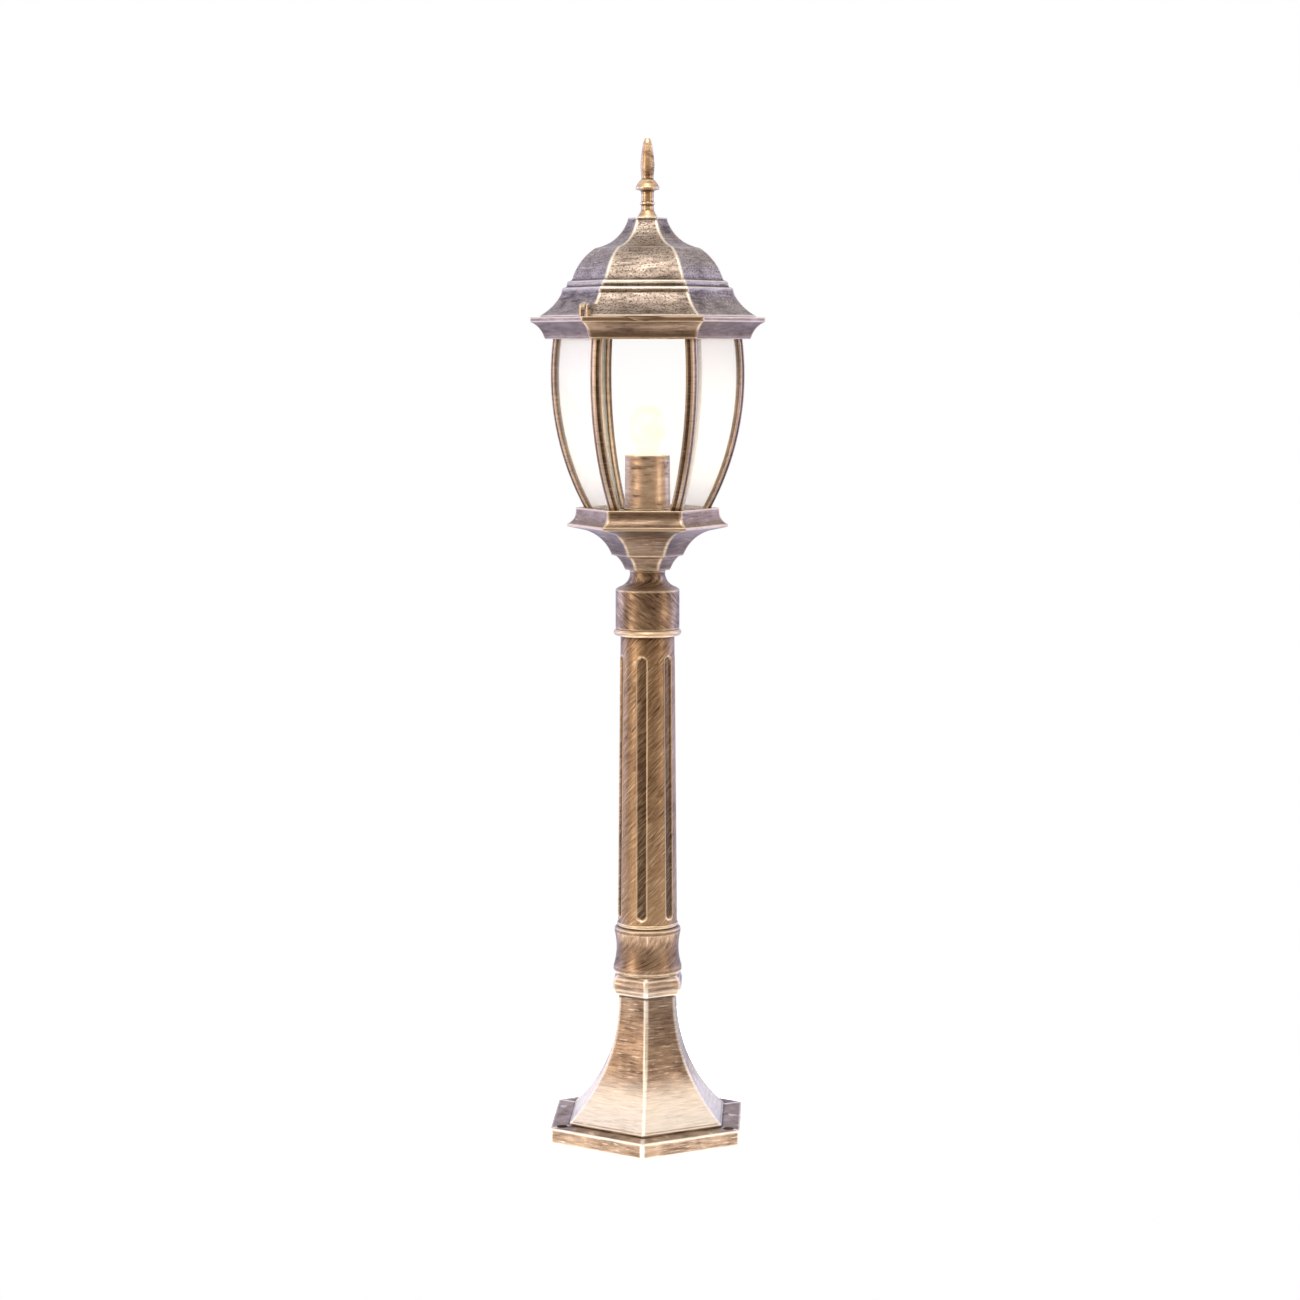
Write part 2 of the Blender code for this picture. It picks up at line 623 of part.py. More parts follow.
def build_bowl():
    lip_z = BOWL_HEIGHT - BOWL_LIP_DROP
    under_z = lip_z - BOWL_LIP_THICK
    shelf = BOWL_HEIGHT - SHELF_DROP
    rim_inner = BOWL_RIM_R - BOWL_WALL
    cup_r = BOWL_LIP_R - 18.5 * MM
    outer = [(rim_inner, BOWL_HEIGHT), (BOWL_RIM_R - 0.8 * MM, BOWL_HEIGHT), (BOWL_RIM_R, BOWL_HEIGHT - 1 * MM)]
    outer += arc(outer[-1], (BOWL_LIP_R, lip_z), -2.4 * MM, 5)
    outer += [(BOWL_LIP_R, under_z), (cup_r, under_z - 4 * MM)]
    outer += arc(outer[-1], (BOWL_STEP_R, BOWL_STEP_RISE), -4 * MM, 6)
    outer += [(BOWL_STEP_R - 4.5 * MM, BOWL_STEP_RISE - 1.6 * MM)]
    outer += arc(outer[-1], (BOWL_BOTTOM_R, 0), -0.7 * MM, 3)
    outer += [(0, 0)]
    inner = [(0, BOWL_FLOOR), (BOWL_BOTTOM_R - 2.5 * MM, BOWL_FLOOR)]
    inner += [(BOWL_STEP_R - BOWL_WALL - 1 * MM, BOWL_STEP_RISE + BOWL_WALL)]
    inner += arc(inner[-1], (cup_r - BOWL_WALL, under_z - 1 * MM), 3.4 * MM, 4)
    inner += [
        (BOWL_RIM_R - BOWL_WALL, lip_z - 1 * MM),
        (BOWL_RIM_R - 1.6 * BOWL_WALL, shelf - SHELF_THICK),
        (SHELF_INNER_R, shelf - SHELF_THICK),
        (SHELF_INNER_R, shelf),
        (rim_inner, shelf),
    ]
    bowl = turned("lantern_bowl", inner + outer, BRONZE, HEX, 0, BOWL_Z, closed=False)
    below, above = (0, 0, BOWL_Z - BOWL_FLOOR), (0, 0, BOWL_Z + 2 * BOWL_FLOOR)
    combine(bowl, rod("stem_hole", HOLDER_STEM_R + RUN, below, above))
    return bowl


def cage_radius(z):
    """Corner radius of the ribs at a height."""
    below = z - CAGE_BULGE_Z
    return CAGE_BULGE_R - CAGE_CURVE_R + math.sqrt(CAGE_CURVE_R**2 - below**2)


def cage_inset(z, depth):
    """Level distance that gives a depth square to the ribs' curve."""
    below = z - CAGE_BULGE_Z
    return depth / math.sqrt(1 - (below / CAGE_CURVE_R) ** 2)


def rib_section(z):
    corner = cage_radius(z)
    skin = cage_inset(z, RIB_SKIN)
    side = math.sqrt(3) / 2
    wing_out = (corner - RIB_WING / 2, side * RIB_WING)
    wing_in = (wing_out[0] - side * skin, wing_out[1] - skin / 2)
    along = (RIB_WEB + skin / 2) / side
    root = (corner - side * skin - along / 2, RIB_WEB)
    half = [wing_out, wing_in, root, (corner - RIB_DEPTH, RIB_WEB)]
    return [(corner, 0)] + half + [(x, -y) for x, y in reversed(half)]


def tab_outline(corner):
    start = corner - RIB_DEPTH + 1.5 * MM
    wide = corner - RIB_DEPTH - 1.5 * MM
    end = wide - RIB_TAB_REACH + 2 * MM
    half = RIB_TAB_WIDTH / 2
    return [(start, 1.2 * MM), (wide, half), (end, half), (end, -half), (wide, -half), (start, -1.2 * MM)]


def build_cage(bowl, eaves):
    low = SHELF_Z + GAP
    high = EAVES_SHELF_Z - GAP
    levels = [low + (high - low) * step / (RIB_STATIONS - 1) for step in range(RIB_STATIONS)]
    low_screw_r = cage_radius(low) - RIB_DEPTH - RIB_TAB_REACH * 0.5
    high_screw_r = cage_radius(high) - RIB_DEPTH - RIB_TAB_REACH * 0.5
    for index in range(HEX):
        number = index + 1
        angle = 60 * index
        spin = corner_frame(angle)
        sections = [[spin @ Vector((x, y, z)) for x, y in rib_section(z)] for z in levels]
        rib = lofted(f"rib_{number}", sections, BRONZE_LIGHT)
        low_tab = spin @ Matrix.Translation((0, 0, low))
        high_tab = spin @ Matrix.Translation((0, 0, high - RIB_TAB))
        low_outline = tab_outline(cage_radius(low))
        high_outline = tab_outline(cage_radius(high))
        combine(rib, prism(f"low_tab_{number}", low_outline, RIB_TAB, None, low_tab, cutters), "UNION")
        combine(rib, prism(f"high_tab_{number}", high_outline, RIB_TAB, None, high_tab, cutters), "UNION")
        low_hole = rod(
            f"low_hole_{number}",
            SCREW_R + RUN,
            circle_point(angle, low_screw_r, low - SHELF_THICK * 2),
            circle_point(angle, low_screw_r, low + RIB_TAB * 2),
        )
        high_hole = rod(
            f"high_hole_{number}",
            SCREW_R + RUN,
            circle_point(angle, high_screw_r, high - RIB_TAB * 2),
            circle_point(angle, high_screw_r, high + EAVES_SHELF_THICK * 2),
        )
        for part, hole in ((rib, low_hole), (rib, high_hole), (bowl, low_hole), (eaves, high_hole)):
            combine(part, hole)
        build_screw(f"low_screw_{number}", angle, low_screw_r, low + RIB_TAB, RIB_TAB + SHELF_THICK)
        top = EAVES_SHELF_Z + EAVES_SHELF_THICK
        build_screw(f"high_screw_{number}", angle, high_screw_r, top, RIB_TAB + EAVES_SHELF_THICK)

    for index in range(HEX):
        spin = corner_frame(60 * index + 30)
        sections = []
        for z in levels:
            outside = cage_radius(z) * FLAT - cage_inset(z, RIB_SKIN + GAP)
            inside = outside - cage_inset(z, GLASS_THICK)
            half = inside * math.tan(math.pi / HEX) - (RIB_WEB + GAP) / FLAT
            points = [(outside, half), (outside, -half), (inside, -half), (inside, half)]
            sections.append([spin @ Vector((x, y, z)) for x, y in points])
        lofted(f"glass_{index + 1}", sections, CLEAR)


def build_screw(name, angle, radius, seat, length):
    """Screw driven down, with its head on a seat."""
    foot = -length + 0.6 * MM
    profile = [
        (0, GAP + SCREW_HEAD_HEIGHT),
        (SCREW_HEAD_R * 0.6, GAP + SCREW_HEAD_HEIGHT),
        (SCREW_HEAD_R, GAP + SCREW_HEAD_HEIGHT * 0.4),
        (SCREW_HEAD_R, GAP),
        (SCREW_R, GAP),
        (SCREW_R, foot),
        (0, foot),
    ]
    centre = circle_point(angle, radius, 0)
    turned(name, profile, STEEL, 10, angle, seat, (centre.x, centre.y), closed=False)


def build_eaves():
    top = EAVES_HEIGHT
    inner_top = ROOF_FOOT_R - 6.5 * MM
    shelf_top = EAVES_SHELF_RISE + EAVES_SHELF_THICK
    outer = [
        (inner_top, top),
        (EAVES_LIP_R - 0.6 * MM, top),
        (EAVES_LIP_R, top - 0.6 * MM),
        (EAVES_LIP_R, top - EAVES_LIP_HEIGHT),
        (EAVES_LIP_R - 1.8 * MM, top - EAVES_LIP_HEIGHT - 0.8 * MM),
    ]
    outer += arc(outer[-1], (EAVES_FASCIA_R + 0.4 * MM, 1.5 * MM), -2 * MM, 6)
    outer += [(EAVES_FASCIA_R, 0), (EAVES_SEAT_R, 0), (EAVES_SEAT_R, EAVES_SHELF_RISE)]
    outer += [(EAVES_SHELF_INNER_R, EAVES_SHELF_RISE), (EAVES_SHELF_INNER_R, shelf_top), (inner_top, shelf_top)]
    eaves = turned("eaves_ring", outer, BRONZE, HEX, 0, EAVES_Z)

    radius = (NOTCH_WIDTH**2 / 4 + NOTCH_DEPTH**2) / (2 * NOTCH_DEPTH)
    notch_z = EAVES_TOP_Z - NOTCH_DEPTH + radius
    face = EAVES_LIP_R * FLAT
    inside, outside = (0, -face + NOTCH_LENGTH, notch_z), (0, -face - NOTCH_LENGTH, notch_z)
    combine(eaves, rod("lip_notch", radius, inside, outside, steps=64))

    for side, name in ((1, "near"), (-1, "far")):
        low = KNUCKLE_WIDTH / 2 + GAP if side > 0 else -KNUCKLE_WIDTH / 2 - GAP - EAR_THICK
        foot = -PIN_RISE - 1 * MM
        outline = [(-EAR_R, foot), (EAR_R, foot)] + disc_outline(EAR_R, 8, (0, 0), 0, 180)
        frame = upright_frame(HINGE_ANGLE, PIN_RADIUS, low + EAR_THICK) @ Matrix.Translation((0, PIN_Z, 0))
        combine(eaves, prism(f"{name}_ear", outline, EAR_THICK, None, frame, cutters), "UNION")
    reach = KNUCKLE_WIDTH + EAR_THICK
    spin = corner_frame(HINGE_ANGLE)
    near, far = spin @ Vector((PIN_RADIUS, -reach, PIN_Z)), spin @ Vector((PIN_RADIUS, reach, PIN_Z))
    combine(eaves, rod("pin_hole", PIN_R + RUN, near, far))
    latch_low = circle_point(LATCH_ANGLE, LATCH_RADIUS, EAVES_TOP_Z - THUMB_ENGAGED - 0.4 * MM)
    latch_high = circle_point(LATCH_ANGLE, LATCH_RADIUS, EAVES_TOP_Z + THUMB_ENGAGED)
    combine(eaves, rod("latch_hole", LATCH_HOLE_R, latch_low, latch_high))
    return eaves


def build_hinge_pin():
    half = KNUCKLE_WIDTH / 2 + GAP + EAR_THICK + GAP
    profile = [
        (0, half + PIN_HEAD),
        (PIN_HEAD_R * 0.7, half + PIN_HEAD),
        (PIN_HEAD_R, half + PIN_HEAD * 0.6),
        (PIN_HEAD_R, half),
        (PIN_R, half),
        (PIN_R, -half),
        (PIN_HEAD_R, -half),
        (PIN_HEAD_R, -half - PIN_HEAD * 0.6),
        (PIN_HEAD_R * 0.7, -half - PIN_HEAD),
        (0, -half - PIN_HEAD),
    ]
    pin = turned("hinge_pin", profile, STEEL, SMALL_ROUND, closed=False)
    middle = circle_point(HINGE_ANGLE, PIN_RADIUS, PIN_Z)
    pin.matrix_world = Matrix.Translation(middle) @ upright_frame(HINGE_ANGLE, 0, 0)


def roof_outer():
    bead_z = ROOF_SKIRT_HEIGHT
    dome_z = bead_z + ROOF_BEAD_HEIGHT + 1.5 * MM
    turn = (ROOF_TURN_R, ROOF_HEIGHT - ROOF_TURN_DROP)
    points = [(ROOF_CROWN_R - 1 * MM, ROOF_HEIGHT), (ROOF_CROWN_R, ROOF_HEIGHT - 1 * MM)]
    points += arc(points[-1], turn, -5.8 * MM, 6)
    points += arc(turn, (ROOF_DOME_R, dome_z), 3.4 * MM, 6)
    points += [
        (ROOF_BEAD_R - 0.8 * MM, dome_z - 1.5 * MM),
        (ROOF_BEAD_R, bead_z + ROOF_BEAD_HEIGHT * 0.5),
        (ROOF_SKIRT_R - 1 * MM, bead_z + ROOF_BEAD_HEIGHT * 0.42),
        (ROOF_SKIRT_R, bead_z),
    ]
    return points + arc(points[-1], (ROOF_FOOT_R, 0), -2.2 * MM, 6)


def build_roof():
    outer = roof_outer()
    inner = [(radius - ROOF_WALL * 1.15, z - ROOF_WALL) for radius, z in outer if z > ROOF_WALL + 1.5 * MM]
    profile = [(0, ROOF_HEIGHT)] + outer + [(ROOF_FOOT_R - ROOF_WALL * 1.3, 0)]
    profile += list(reversed(inner)) + [(0, inner[0][1])]
    roof = turned("roof_shell", profile, BRONZE, HEX, 0, ROOF_Z, closed=False)
    combine(roof, rod("stud_hole", STUD_R + RUN, (0, 0, CROWN_Z - 3 * ROOF_WALL), (0, 0, CROWN_Z + ROOF_WALL)))

    rest = PIN_RADIUS - KNUCKLE_REACH
    arm = KNUCKLE_R * 0.62
    sweep = 180 - math.degrees(math.asin(arm / KNUCKLE_R))
    outline = [(rest - PIN_RADIUS, arm), (rest - PIN_RADIUS, -arm)]
    outline += disc_outline(KNUCKLE_R, 10, (0, 0), -sweep, sweep)
    frame = upright_frame(HINGE_ANGLE, PIN_RADIUS, KNUCKLE_WIDTH / 2) @ Matrix.Translation((0, PIN_Z, 0))
    combine(roof, prism("knuckle", outline, KNUCKLE_WIDTH, None, frame, cutters), "UNION")
    spin = corner_frame(HINGE_ANGLE)
    near = spin @ Vector((PIN_RADIUS, -KNUCKLE_WIDTH, PIN_Z))
    far = spin @ Vector((PIN_RADIUS, KNUCKLE_WIDTH, PIN_Z))
    combine(roof, rod("knuckle_hole", PIN_R + RUN, near, far))

    half = LUG_WIDTH / 2
    rest = radius_at(outer, LUG_RISE - GAP) - ROOF_WALL * 1.6
    lug = [(rest, half), (rest, -half)] + disc_outline(half, 8, (LATCH_RADIUS, 0), -90, 90)
    frame = corner_frame(LATCH_ANGLE) @ Matrix.Translation((0, 0, LUG_Z))
    combine(roof, prism("latch_lug", lug, LUG_THICK, None, frame, cutters), "UNION")
    low = circle_point(LATCH_ANGLE, LATCH_RADIUS, LUG_Z - LUG_THICK)
    high = circle_point(LATCH_ANGLE, LATCH_RADIUS, LUG_Z + 2 * LUG_THICK)
    combine(roof, rod("lug_hole", THUMB_SHANK_R + RUN, low, high))


def build_latch():
    seat = LUG_THICK + GAP
    foot = -LUG_RISE - THUMB_ENGAGED + 0.4 * MM
    profile = [
        (0, seat + THUMB_HEIGHT),
        (THUMB_R - 1 * MM, seat + THUMB_HEIGHT),
        (THUMB_R, seat + THUMB_HEIGHT - 1 * MM),
        (THUMB_R, seat + 2 * MM),
        (THUMB_R * 0.6, seat + 1.4 * MM),
        (THUMB_R * 0.6, seat),
        (THUMB_SHANK_R, seat),
        (THUMB_SHANK_R, foot + 0.8 * MM),
        (THUMB_SHANK_R - 0.6 * MM, foot),
        (0, foot),
    ]
    centre = circle_point(LATCH_ANGLE, LATCH_RADIUS, 0)
    turned("thumb_screw", profile, BRASS, 18, 0, LUG_Z, (centre.x, centre.y), closed=False)
    clip_z = LUG_Z - GAP - CLIP_THICK
    tube("thumb_clip", CLIP_R, THUMB_SHANK_R + GAP, CLIP_THICK, STEEL, clip_z, 16, (centre.x, centre.y))


def build_finial():
    shape = (
        (0.03, 1),
        (FINIAL_TIP_R / FINIAL_SHAFT_R, 0.995),
        (0.64, 0.945),
        (0.86, 0.845),
        (1.02, 0.737),
        (1.1, 0.66),
        (1.02, 0.58),
        (0.94, 0.51),
        (0.95, 0.475),
        (1.25, 0.455),
        (1.62, 0.41),
        (FINIAL_CAP_R / FINIAL_SHAFT_R, 0.365),
        (FINIAL_CAP_R / FINIAL_SHAFT_R - 0.1, 0.355),
        (1.18, 0.325),
        (1, 0.3),
        (0.98, 0.2),
        (1.18, 0.185),
        (1.18, 0.165),
        (1, 0.15),
        (1.04, 0.084),
        (1.35, 0.035),
        (FINIAL_BOSS_R / FINIAL_SHAFT_R, 0),
    )
    profile = [(radius * FINIAL_SHAFT_R, rise * FINIAL_HEIGHT) for radius, rise in shape]
    profile[0] = (0, FINIAL_HEIGHT)
    foot = -STUD_LENGTH
    profile += [(STUD_R, 0), (STUD_R, foot), (0, foot)]
    turned("finial", profile, GOLD, 20, 0, FINIAL_Z, closed=False)
    nut_z = CROWN_Z - ROOF_WALL - GAP - STUD_NUT_HEIGHT
    nut("finial_nut", STUD_NUT_R, STUD_R, STUD_NUT_HEIGHT, nut_z)


def build_lamp():
    bottom_nut_z = FITTER_TOP_Z - FITTER_DECK - GAP - NUT_HEIGHT
    stem_z = bottom_nut_z - ROD_STICK_OUT
    nut_r = NUT_R + 1.8 * MM
    nut("stem_nut_low", nut_r, HOLDER_STEM_R, NUT_HEIGHT, bottom_nut_z)
    nut("stem_nut_high", nut_r, HOLDER_STEM_R, NUT_HEIGHT, BOWL_Z + BOWL_FLOOR + GAP)
    tube("holder_stem", HOLDER_STEM_R, STEM_BORE_R, HOLDER_Z - GAP - stem_z, BRASS, stem_z, 20)
    tube("candle_dish", DISH_R, HOLDER_STEM_R + RUN, DISH_THICK, GOLD, DISH_Z)

    floor = HOLDER_HEIGHT - HOLDER_WELL
    holder = [
        (0, floor),
        (HOLDER_WELL_R, floor),
        (HOLDER_WELL_R, HOLDER_HEIGHT),
        (HOLDER_R - 1 * MM, HOLDER_HEIGHT),
        (HOLDER_R, HOLDER_HEIGHT - 1 * MM),
        (HOLDER_R, 1 * MM),
        (HOLDER_R - 1 * MM, 0),
        (0, 0),
    ]
    turned("lamp_holder", holder, CERAMIC, ROUND, 0, HOLDER_Z, closed=False)
    sleeve_top = HOLDER_HEIGHT + SLEEVE_PROUD
    sleeve = [
        (SLEEVE_TOP_R, sleeve_top),
        (SLEEVE_FOOT_R, 0),
        (SLEEVE_FOOT_R - SLEEVE_WALL, 0),
        (SLEEVE_TOP_R - SLEEVE_WALL, sleeve_top),
    ]
    turned("candle_sleeve", sleeve, GOLD, ROUND, 0, HOLDER_Z)
    shell_z = HOLDER_Z + floor + GAP
    tube("screw_shell", SHELL_R, SHELL_R - SHELL_WALL, SHELL_HEIGHT, BRASS, shell_z)
    contact = CAP_SEAT - floor - TIP_HEIGHT - 3 * GAP
    profile = [(0, contact), (CONTACT_R * 0.7, contact), (CONTACT_R, contact * 0.8), (CONTACT_R, 0), (0, 0)]
    turned("centre_contact", profile, BRASS, 16, 0, shell_z, closed=False)

    cap_z = HOLDER_Z + CAP_SEAT
    cap = [
        (0, CAP_HEIGHT),
        (CAP_R, CAP_HEIGHT),
        (CAP_R, 3 * MM),
        (CAP_R * 0.62, 0),
        (0, 0),
    ]
    turned("bulb_cap", cap, STEEL, ROUND, 0, cap_z, closed=False)
    tip = [(0, 0), (TIP_R, 0), (TIP_R, -TIP_HEIGHT * 0.5), (TIP_R * 0.6, -TIP_HEIGHT), (0, -TIP_HEIGHT)]
    turned("bulb_tip", tip, BRASS, 16, 0, cap_z - GAP, closed=False)
    build_globe(cap_z + CAP_HEIGHT + GAP)


def build_globe(z):
    root_r = BULB_NECK_R + BULB_NECK_FLARE  # where the neck meets the globe
    centre = BULB_NECK_LENGTH + math.sqrt(BULB_R**2 - root_r**2)
    stops = 8
    last = math.pi - math.asin(root_r / BULB_R)
    outer = []
    inner = []
    for step in range(stops + 1):
        angle = last * step / stops
        outer.append((BULB_R * math.sin(angle), centre + BULB_R * math.cos(angle)))
        thin = BULB_R - BULB_WALL
        inner.append((thin * math.sin(angle), centre + thin * math.cos(angle)))
    outer += [(BULB_NECK_R, 2.5 * MM), (BULB_NECK_R - 0.8 * MM, 0)]
    inner += [(BULB_NECK_R - BULB_WALL, 2.5 * MM), (BULB_NECK_R - 0.8 * MM - BULB_WALL, 0)]
    turned("bulb_globe", outer + list(reversed(inner)), OPAL, ROUND, 0, z, closed=False)


clear_scene()
build_foot()
build_wiring(build_clamp())
build_post()
build_fitter()
build_cage(build_bowl(), build_eaves())
build_hinge_pin()
build_roof()
build_latch()
build_finial()
build_lamp()
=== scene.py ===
import json
import math

import bmesh
import bpy
from mathutils import Matrix, Vector


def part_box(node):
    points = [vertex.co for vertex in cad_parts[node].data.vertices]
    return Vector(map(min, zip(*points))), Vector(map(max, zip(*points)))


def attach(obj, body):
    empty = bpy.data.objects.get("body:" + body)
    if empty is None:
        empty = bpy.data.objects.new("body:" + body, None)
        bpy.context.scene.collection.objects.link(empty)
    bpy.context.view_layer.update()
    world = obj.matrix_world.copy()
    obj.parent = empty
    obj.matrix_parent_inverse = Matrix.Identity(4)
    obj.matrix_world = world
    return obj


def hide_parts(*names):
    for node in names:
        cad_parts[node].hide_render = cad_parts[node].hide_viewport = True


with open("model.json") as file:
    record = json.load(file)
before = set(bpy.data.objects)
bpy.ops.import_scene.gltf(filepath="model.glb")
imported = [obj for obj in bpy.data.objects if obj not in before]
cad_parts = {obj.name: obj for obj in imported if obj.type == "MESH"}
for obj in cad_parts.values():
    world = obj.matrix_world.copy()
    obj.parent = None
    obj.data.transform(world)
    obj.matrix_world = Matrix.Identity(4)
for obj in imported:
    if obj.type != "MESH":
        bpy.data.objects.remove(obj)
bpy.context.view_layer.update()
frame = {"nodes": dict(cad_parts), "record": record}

# Garden post lantern in cast aluminium: six-sided head on a fluted post with a flared foot.
# Profiles are (radius, height) in millimetres above the ground. On the six-sided castings the
# radius is the one at the corners.
mm = 0.001
flat = math.cos(math.radians(30))  # how far a hexagon's flat is out, for a corner at 1
uvPerMm = 0.1  # one unit of the brushed UV map is 10 mm


def linear(hexColour):
    channels = [int(hexColour[i:i + 2], 16) / 255 for i in (1, 3, 5)]
    return [c / 12.92 if c <= 0.04045 else ((c + 0.055) / 1.055) ** 2.4 for c in channels] + [1.0]


def clamp(value, low=0.0, high=1.0):
    return max(low, min(high, value))


def ease(value, start, end):
    t = clamp((value - start) / (end - start))
    return t * t * (3 - 2 * t)


def bow(start, end, sag, count):  # points after start up to end, bowed to the left of the way it runs
    (x0, y0), (x1, y1) = start, end
    length = math.hypot(x1 - x0, y1 - y0)
    nx, ny = -(y1 - y0) / length, (x1 - x0) / length
    points = []
    for step in range(1, count + 1):
        t = step / count
        push = sag * 4 * t * (1 - t)
        points.append((x0 + (x1 - x0) * t + nx * push, y0 + (y1 - y0) * t + ny * push))
    return points


def softened(points, radius, steps=4, straight=14, share=0.42):  # rounds the corners of an open profile
    result = [points[0]]
    for before, here, after in zip(points, points[1:], points[2:]):
        a = Vector(before) - Vector(here)
        b = Vector(after) - Vector(here)
        if a.length < 1e-6 or b.length < 1e-6:
            continue
        bend = math.pi - a.angle(b)
        if bend < math.radians(straight):
            result.append(here)
            continue
        reach = min(radius * math.tan(bend / 2), a.length * share, b.length * share)
        p = Vector(here) + a.normalized() * reach
        q = Vector(here) + b.normalized() * reach
        for step in range(steps + 1):
            t = step / steps
            spot = p * (1 - t) ** 2 + Vector(here) * 2 * t * (1 - t) + q * t * t
            result.append((spot.x, spot.y))
    result.append(points[-1])
    return result


def stepped(points, longest):  # splits long stretches, so that wear can fade along them
    result = [points[0]]
    for first, second in zip(points, points[1:]):
        length = math.hypot(second[0] - first[0], second[1] - first[1])
        count = max(1, math.ceil(length / longest))
        for step in range(1, count + 1):
            t = step / count
            result.append((first[0] + (second[0] - first[0]) * t, first[1] + (second[1] - first[1]) * t))
    return result


def turning(points, reach=1.6, window=24, full=42):  # the profile's turn near each point, above 0 outwards
    turns = [0.0] * len(points)
    along = [0.0]
    for first, second in zip(points, points[1:]):
        along.append(along[-1] + math.hypot(second[0] - first[0], second[1] - first[1]))
    for i in range(1, len(points) - 1):
        ax, ay = points[i][0] - points[i - 1][0], points[i][1] - points[i - 1][1]
        bx, by = points[i + 1][0] - points[i][0], points[i + 1][1] - points[i][1]
        turns[i] = -math.atan2(ax * by - ay * bx, ax * bx + ay * by)
    result = []
    for i, here in enumerate(along):
        total = 0.0
        for j in range(max(0, i - window), min(len(points), i + window + 1)):
            gap = abs(along[j] - here)
            if gap < reach:
                total += turns[j] * (1 - gap / reach)
        result.append(clamp(total / math.radians(full), -1, 1))
    return result, along


ridgeWear = {"near": 1.3, "nearWear": 0.3, "gone": 2.2}  # mm beside a corner's rounding


def sixSided(radius, rounding, turn):  # a ring of (x, y, ridge wear, distance round), in millimetres
    soft = min(rounding, radius * 0.35)
    tangent = soft / math.tan(math.radians(60))
    near = tangent + min(ridgeWear["near"], radius * 0.05)
    middle = tangent + min(ridgeWear["gone"], radius * 0.1)
    ring = []
    for corner in range(6):
        angle = math.radians(turn + 60 * corner)
        after = math.radians(turn + 60 * (corner + 1))
        centre = radius - soft / math.sin(math.radians(60))
        for swing in (-30, -15, 0, 15, 30):
            lean = angle + math.radians(swing)
            x = centre * math.cos(angle) + soft * math.cos(lean)
            y = centre * math.sin(angle) + soft * math.sin(lean)
            ring.append((x, y, 1.0, radius * corner + swing * 0.01))
        p = Vector((radius * math.cos(angle), radius * math.sin(angle)))
        q = Vector((radius * math.cos(after), radius * math.sin(after)))
        worn = ridgeWear["nearWear"]
        marks = [(near, worn), (middle, 0.0), (radius * 0.3, 0), (radius * 0.5, 0), (radius * 0.7, 0)]
        marks += [(radius - middle, 0.0), (radius - near, worn)]
        for distance, wear in marks:
            spot = p.lerp(q, distance / radius)
            ring.append((spot.x, spot.y, wear, radius * corner + distance))
    return ring


def roundRing(radius, count):
    ring = []
    for k in range(count):
        angle = math.tau * k / count
        ring.append((radius * math.cos(angle), radius * math.sin(angle), 0.0, radius * angle))
    return ring


def meshOf(name, points, faces, marks, uvs=None, sharp=38):
    mesh = bpy.data.meshes.new(name)
    mesh.from_pydata(points, [], faces)
    for key, values in marks.items():
        layer = mesh.attributes.new(key, "FLOAT", "POINT")
        layer.data.foreach_set("value", values)
    if uvs:
        layer = mesh.uv_layers.new(name="brushed")
        layer.data.foreach_set("uv", [value for pair in uvs for value in pair])
    mesh.update()
    crease(mesh, sharp)
    return mesh


def crease(mesh, sharp):  # smooth shading with true corners
    shape = bmesh.new()
    shape.from_mesh(mesh)
    for face in shape.faces:
        face.smooth = True
    for edge in shape.edges:
        edge.smooth = len(edge.link_faces) == 2 and edge.calc_face_angle(0) < math.radians(sharp)
    shape.to_mesh(mesh)
    shape.free()


def skin(name, rows, sharp=38):  # rows of rings of (x, y, z, wear, grime, u, v) in millimetres
    points, faces, uvs, wear, grimeAndShade, starts = [], [], [], [], [], []
    loop = False
    if len(rows[0]) > 1 and math.dist(rows[0][0][:3], rows[-1][0][:3]) < 1e-6:
        rows, loop = rows[:-1], True  # a profile that comes back to its start
    for row in rows:
        single = math.hypot(row[0][0], row[0][1]) < 1e-4
        starts.append((len(points), single))
        for x, y, z, worn, dirtAndShade, u, v in (row[:1] if single else row):
            points.append((x * mm, y * mm, z * mm))
            wear.append(worn)
            grimeAndShade.append(dirtAndShade)
    count = max(len(row) for row in rows)
    last = len(rows) if loop else len(rows) - 1
    for i in range(last):
        k = (i + 1) % len(rows)
        (a, aOne), (b, bOne) = starts[i], starts[k]
        if aOne and bOne:
            continue
        wide = rows[k] if aOne else rows[i]
        onceRound = wide[-1][5] + wide[1][5]  # added to u where the ring comes back to its start
        for j in range(count):
            n = (j + 1) % count
            corners = [
                (a if aOne else a + j, rows[i][0 if aOne else j], False),
                (b if bOne else b + j, rows[k][0 if bOne else j], False),
            ]
            if not bOne:
                corners.append((b + n, rows[k][n], n == 0))
            if not aOne:
                corners.append((a + n, rows[i][n], n == 0))
            faces.append([corner[0] for corner in corners])
            for _, (*_, u, v), wraps in corners:
                uvs.append(((u + onceRound if wraps else u) * uvPerMm, v * uvPerMm))
    return meshOf(name, points, faces, {"wear": wear, "grimeAndShade": grimeAndShade}, uvs, sharp)


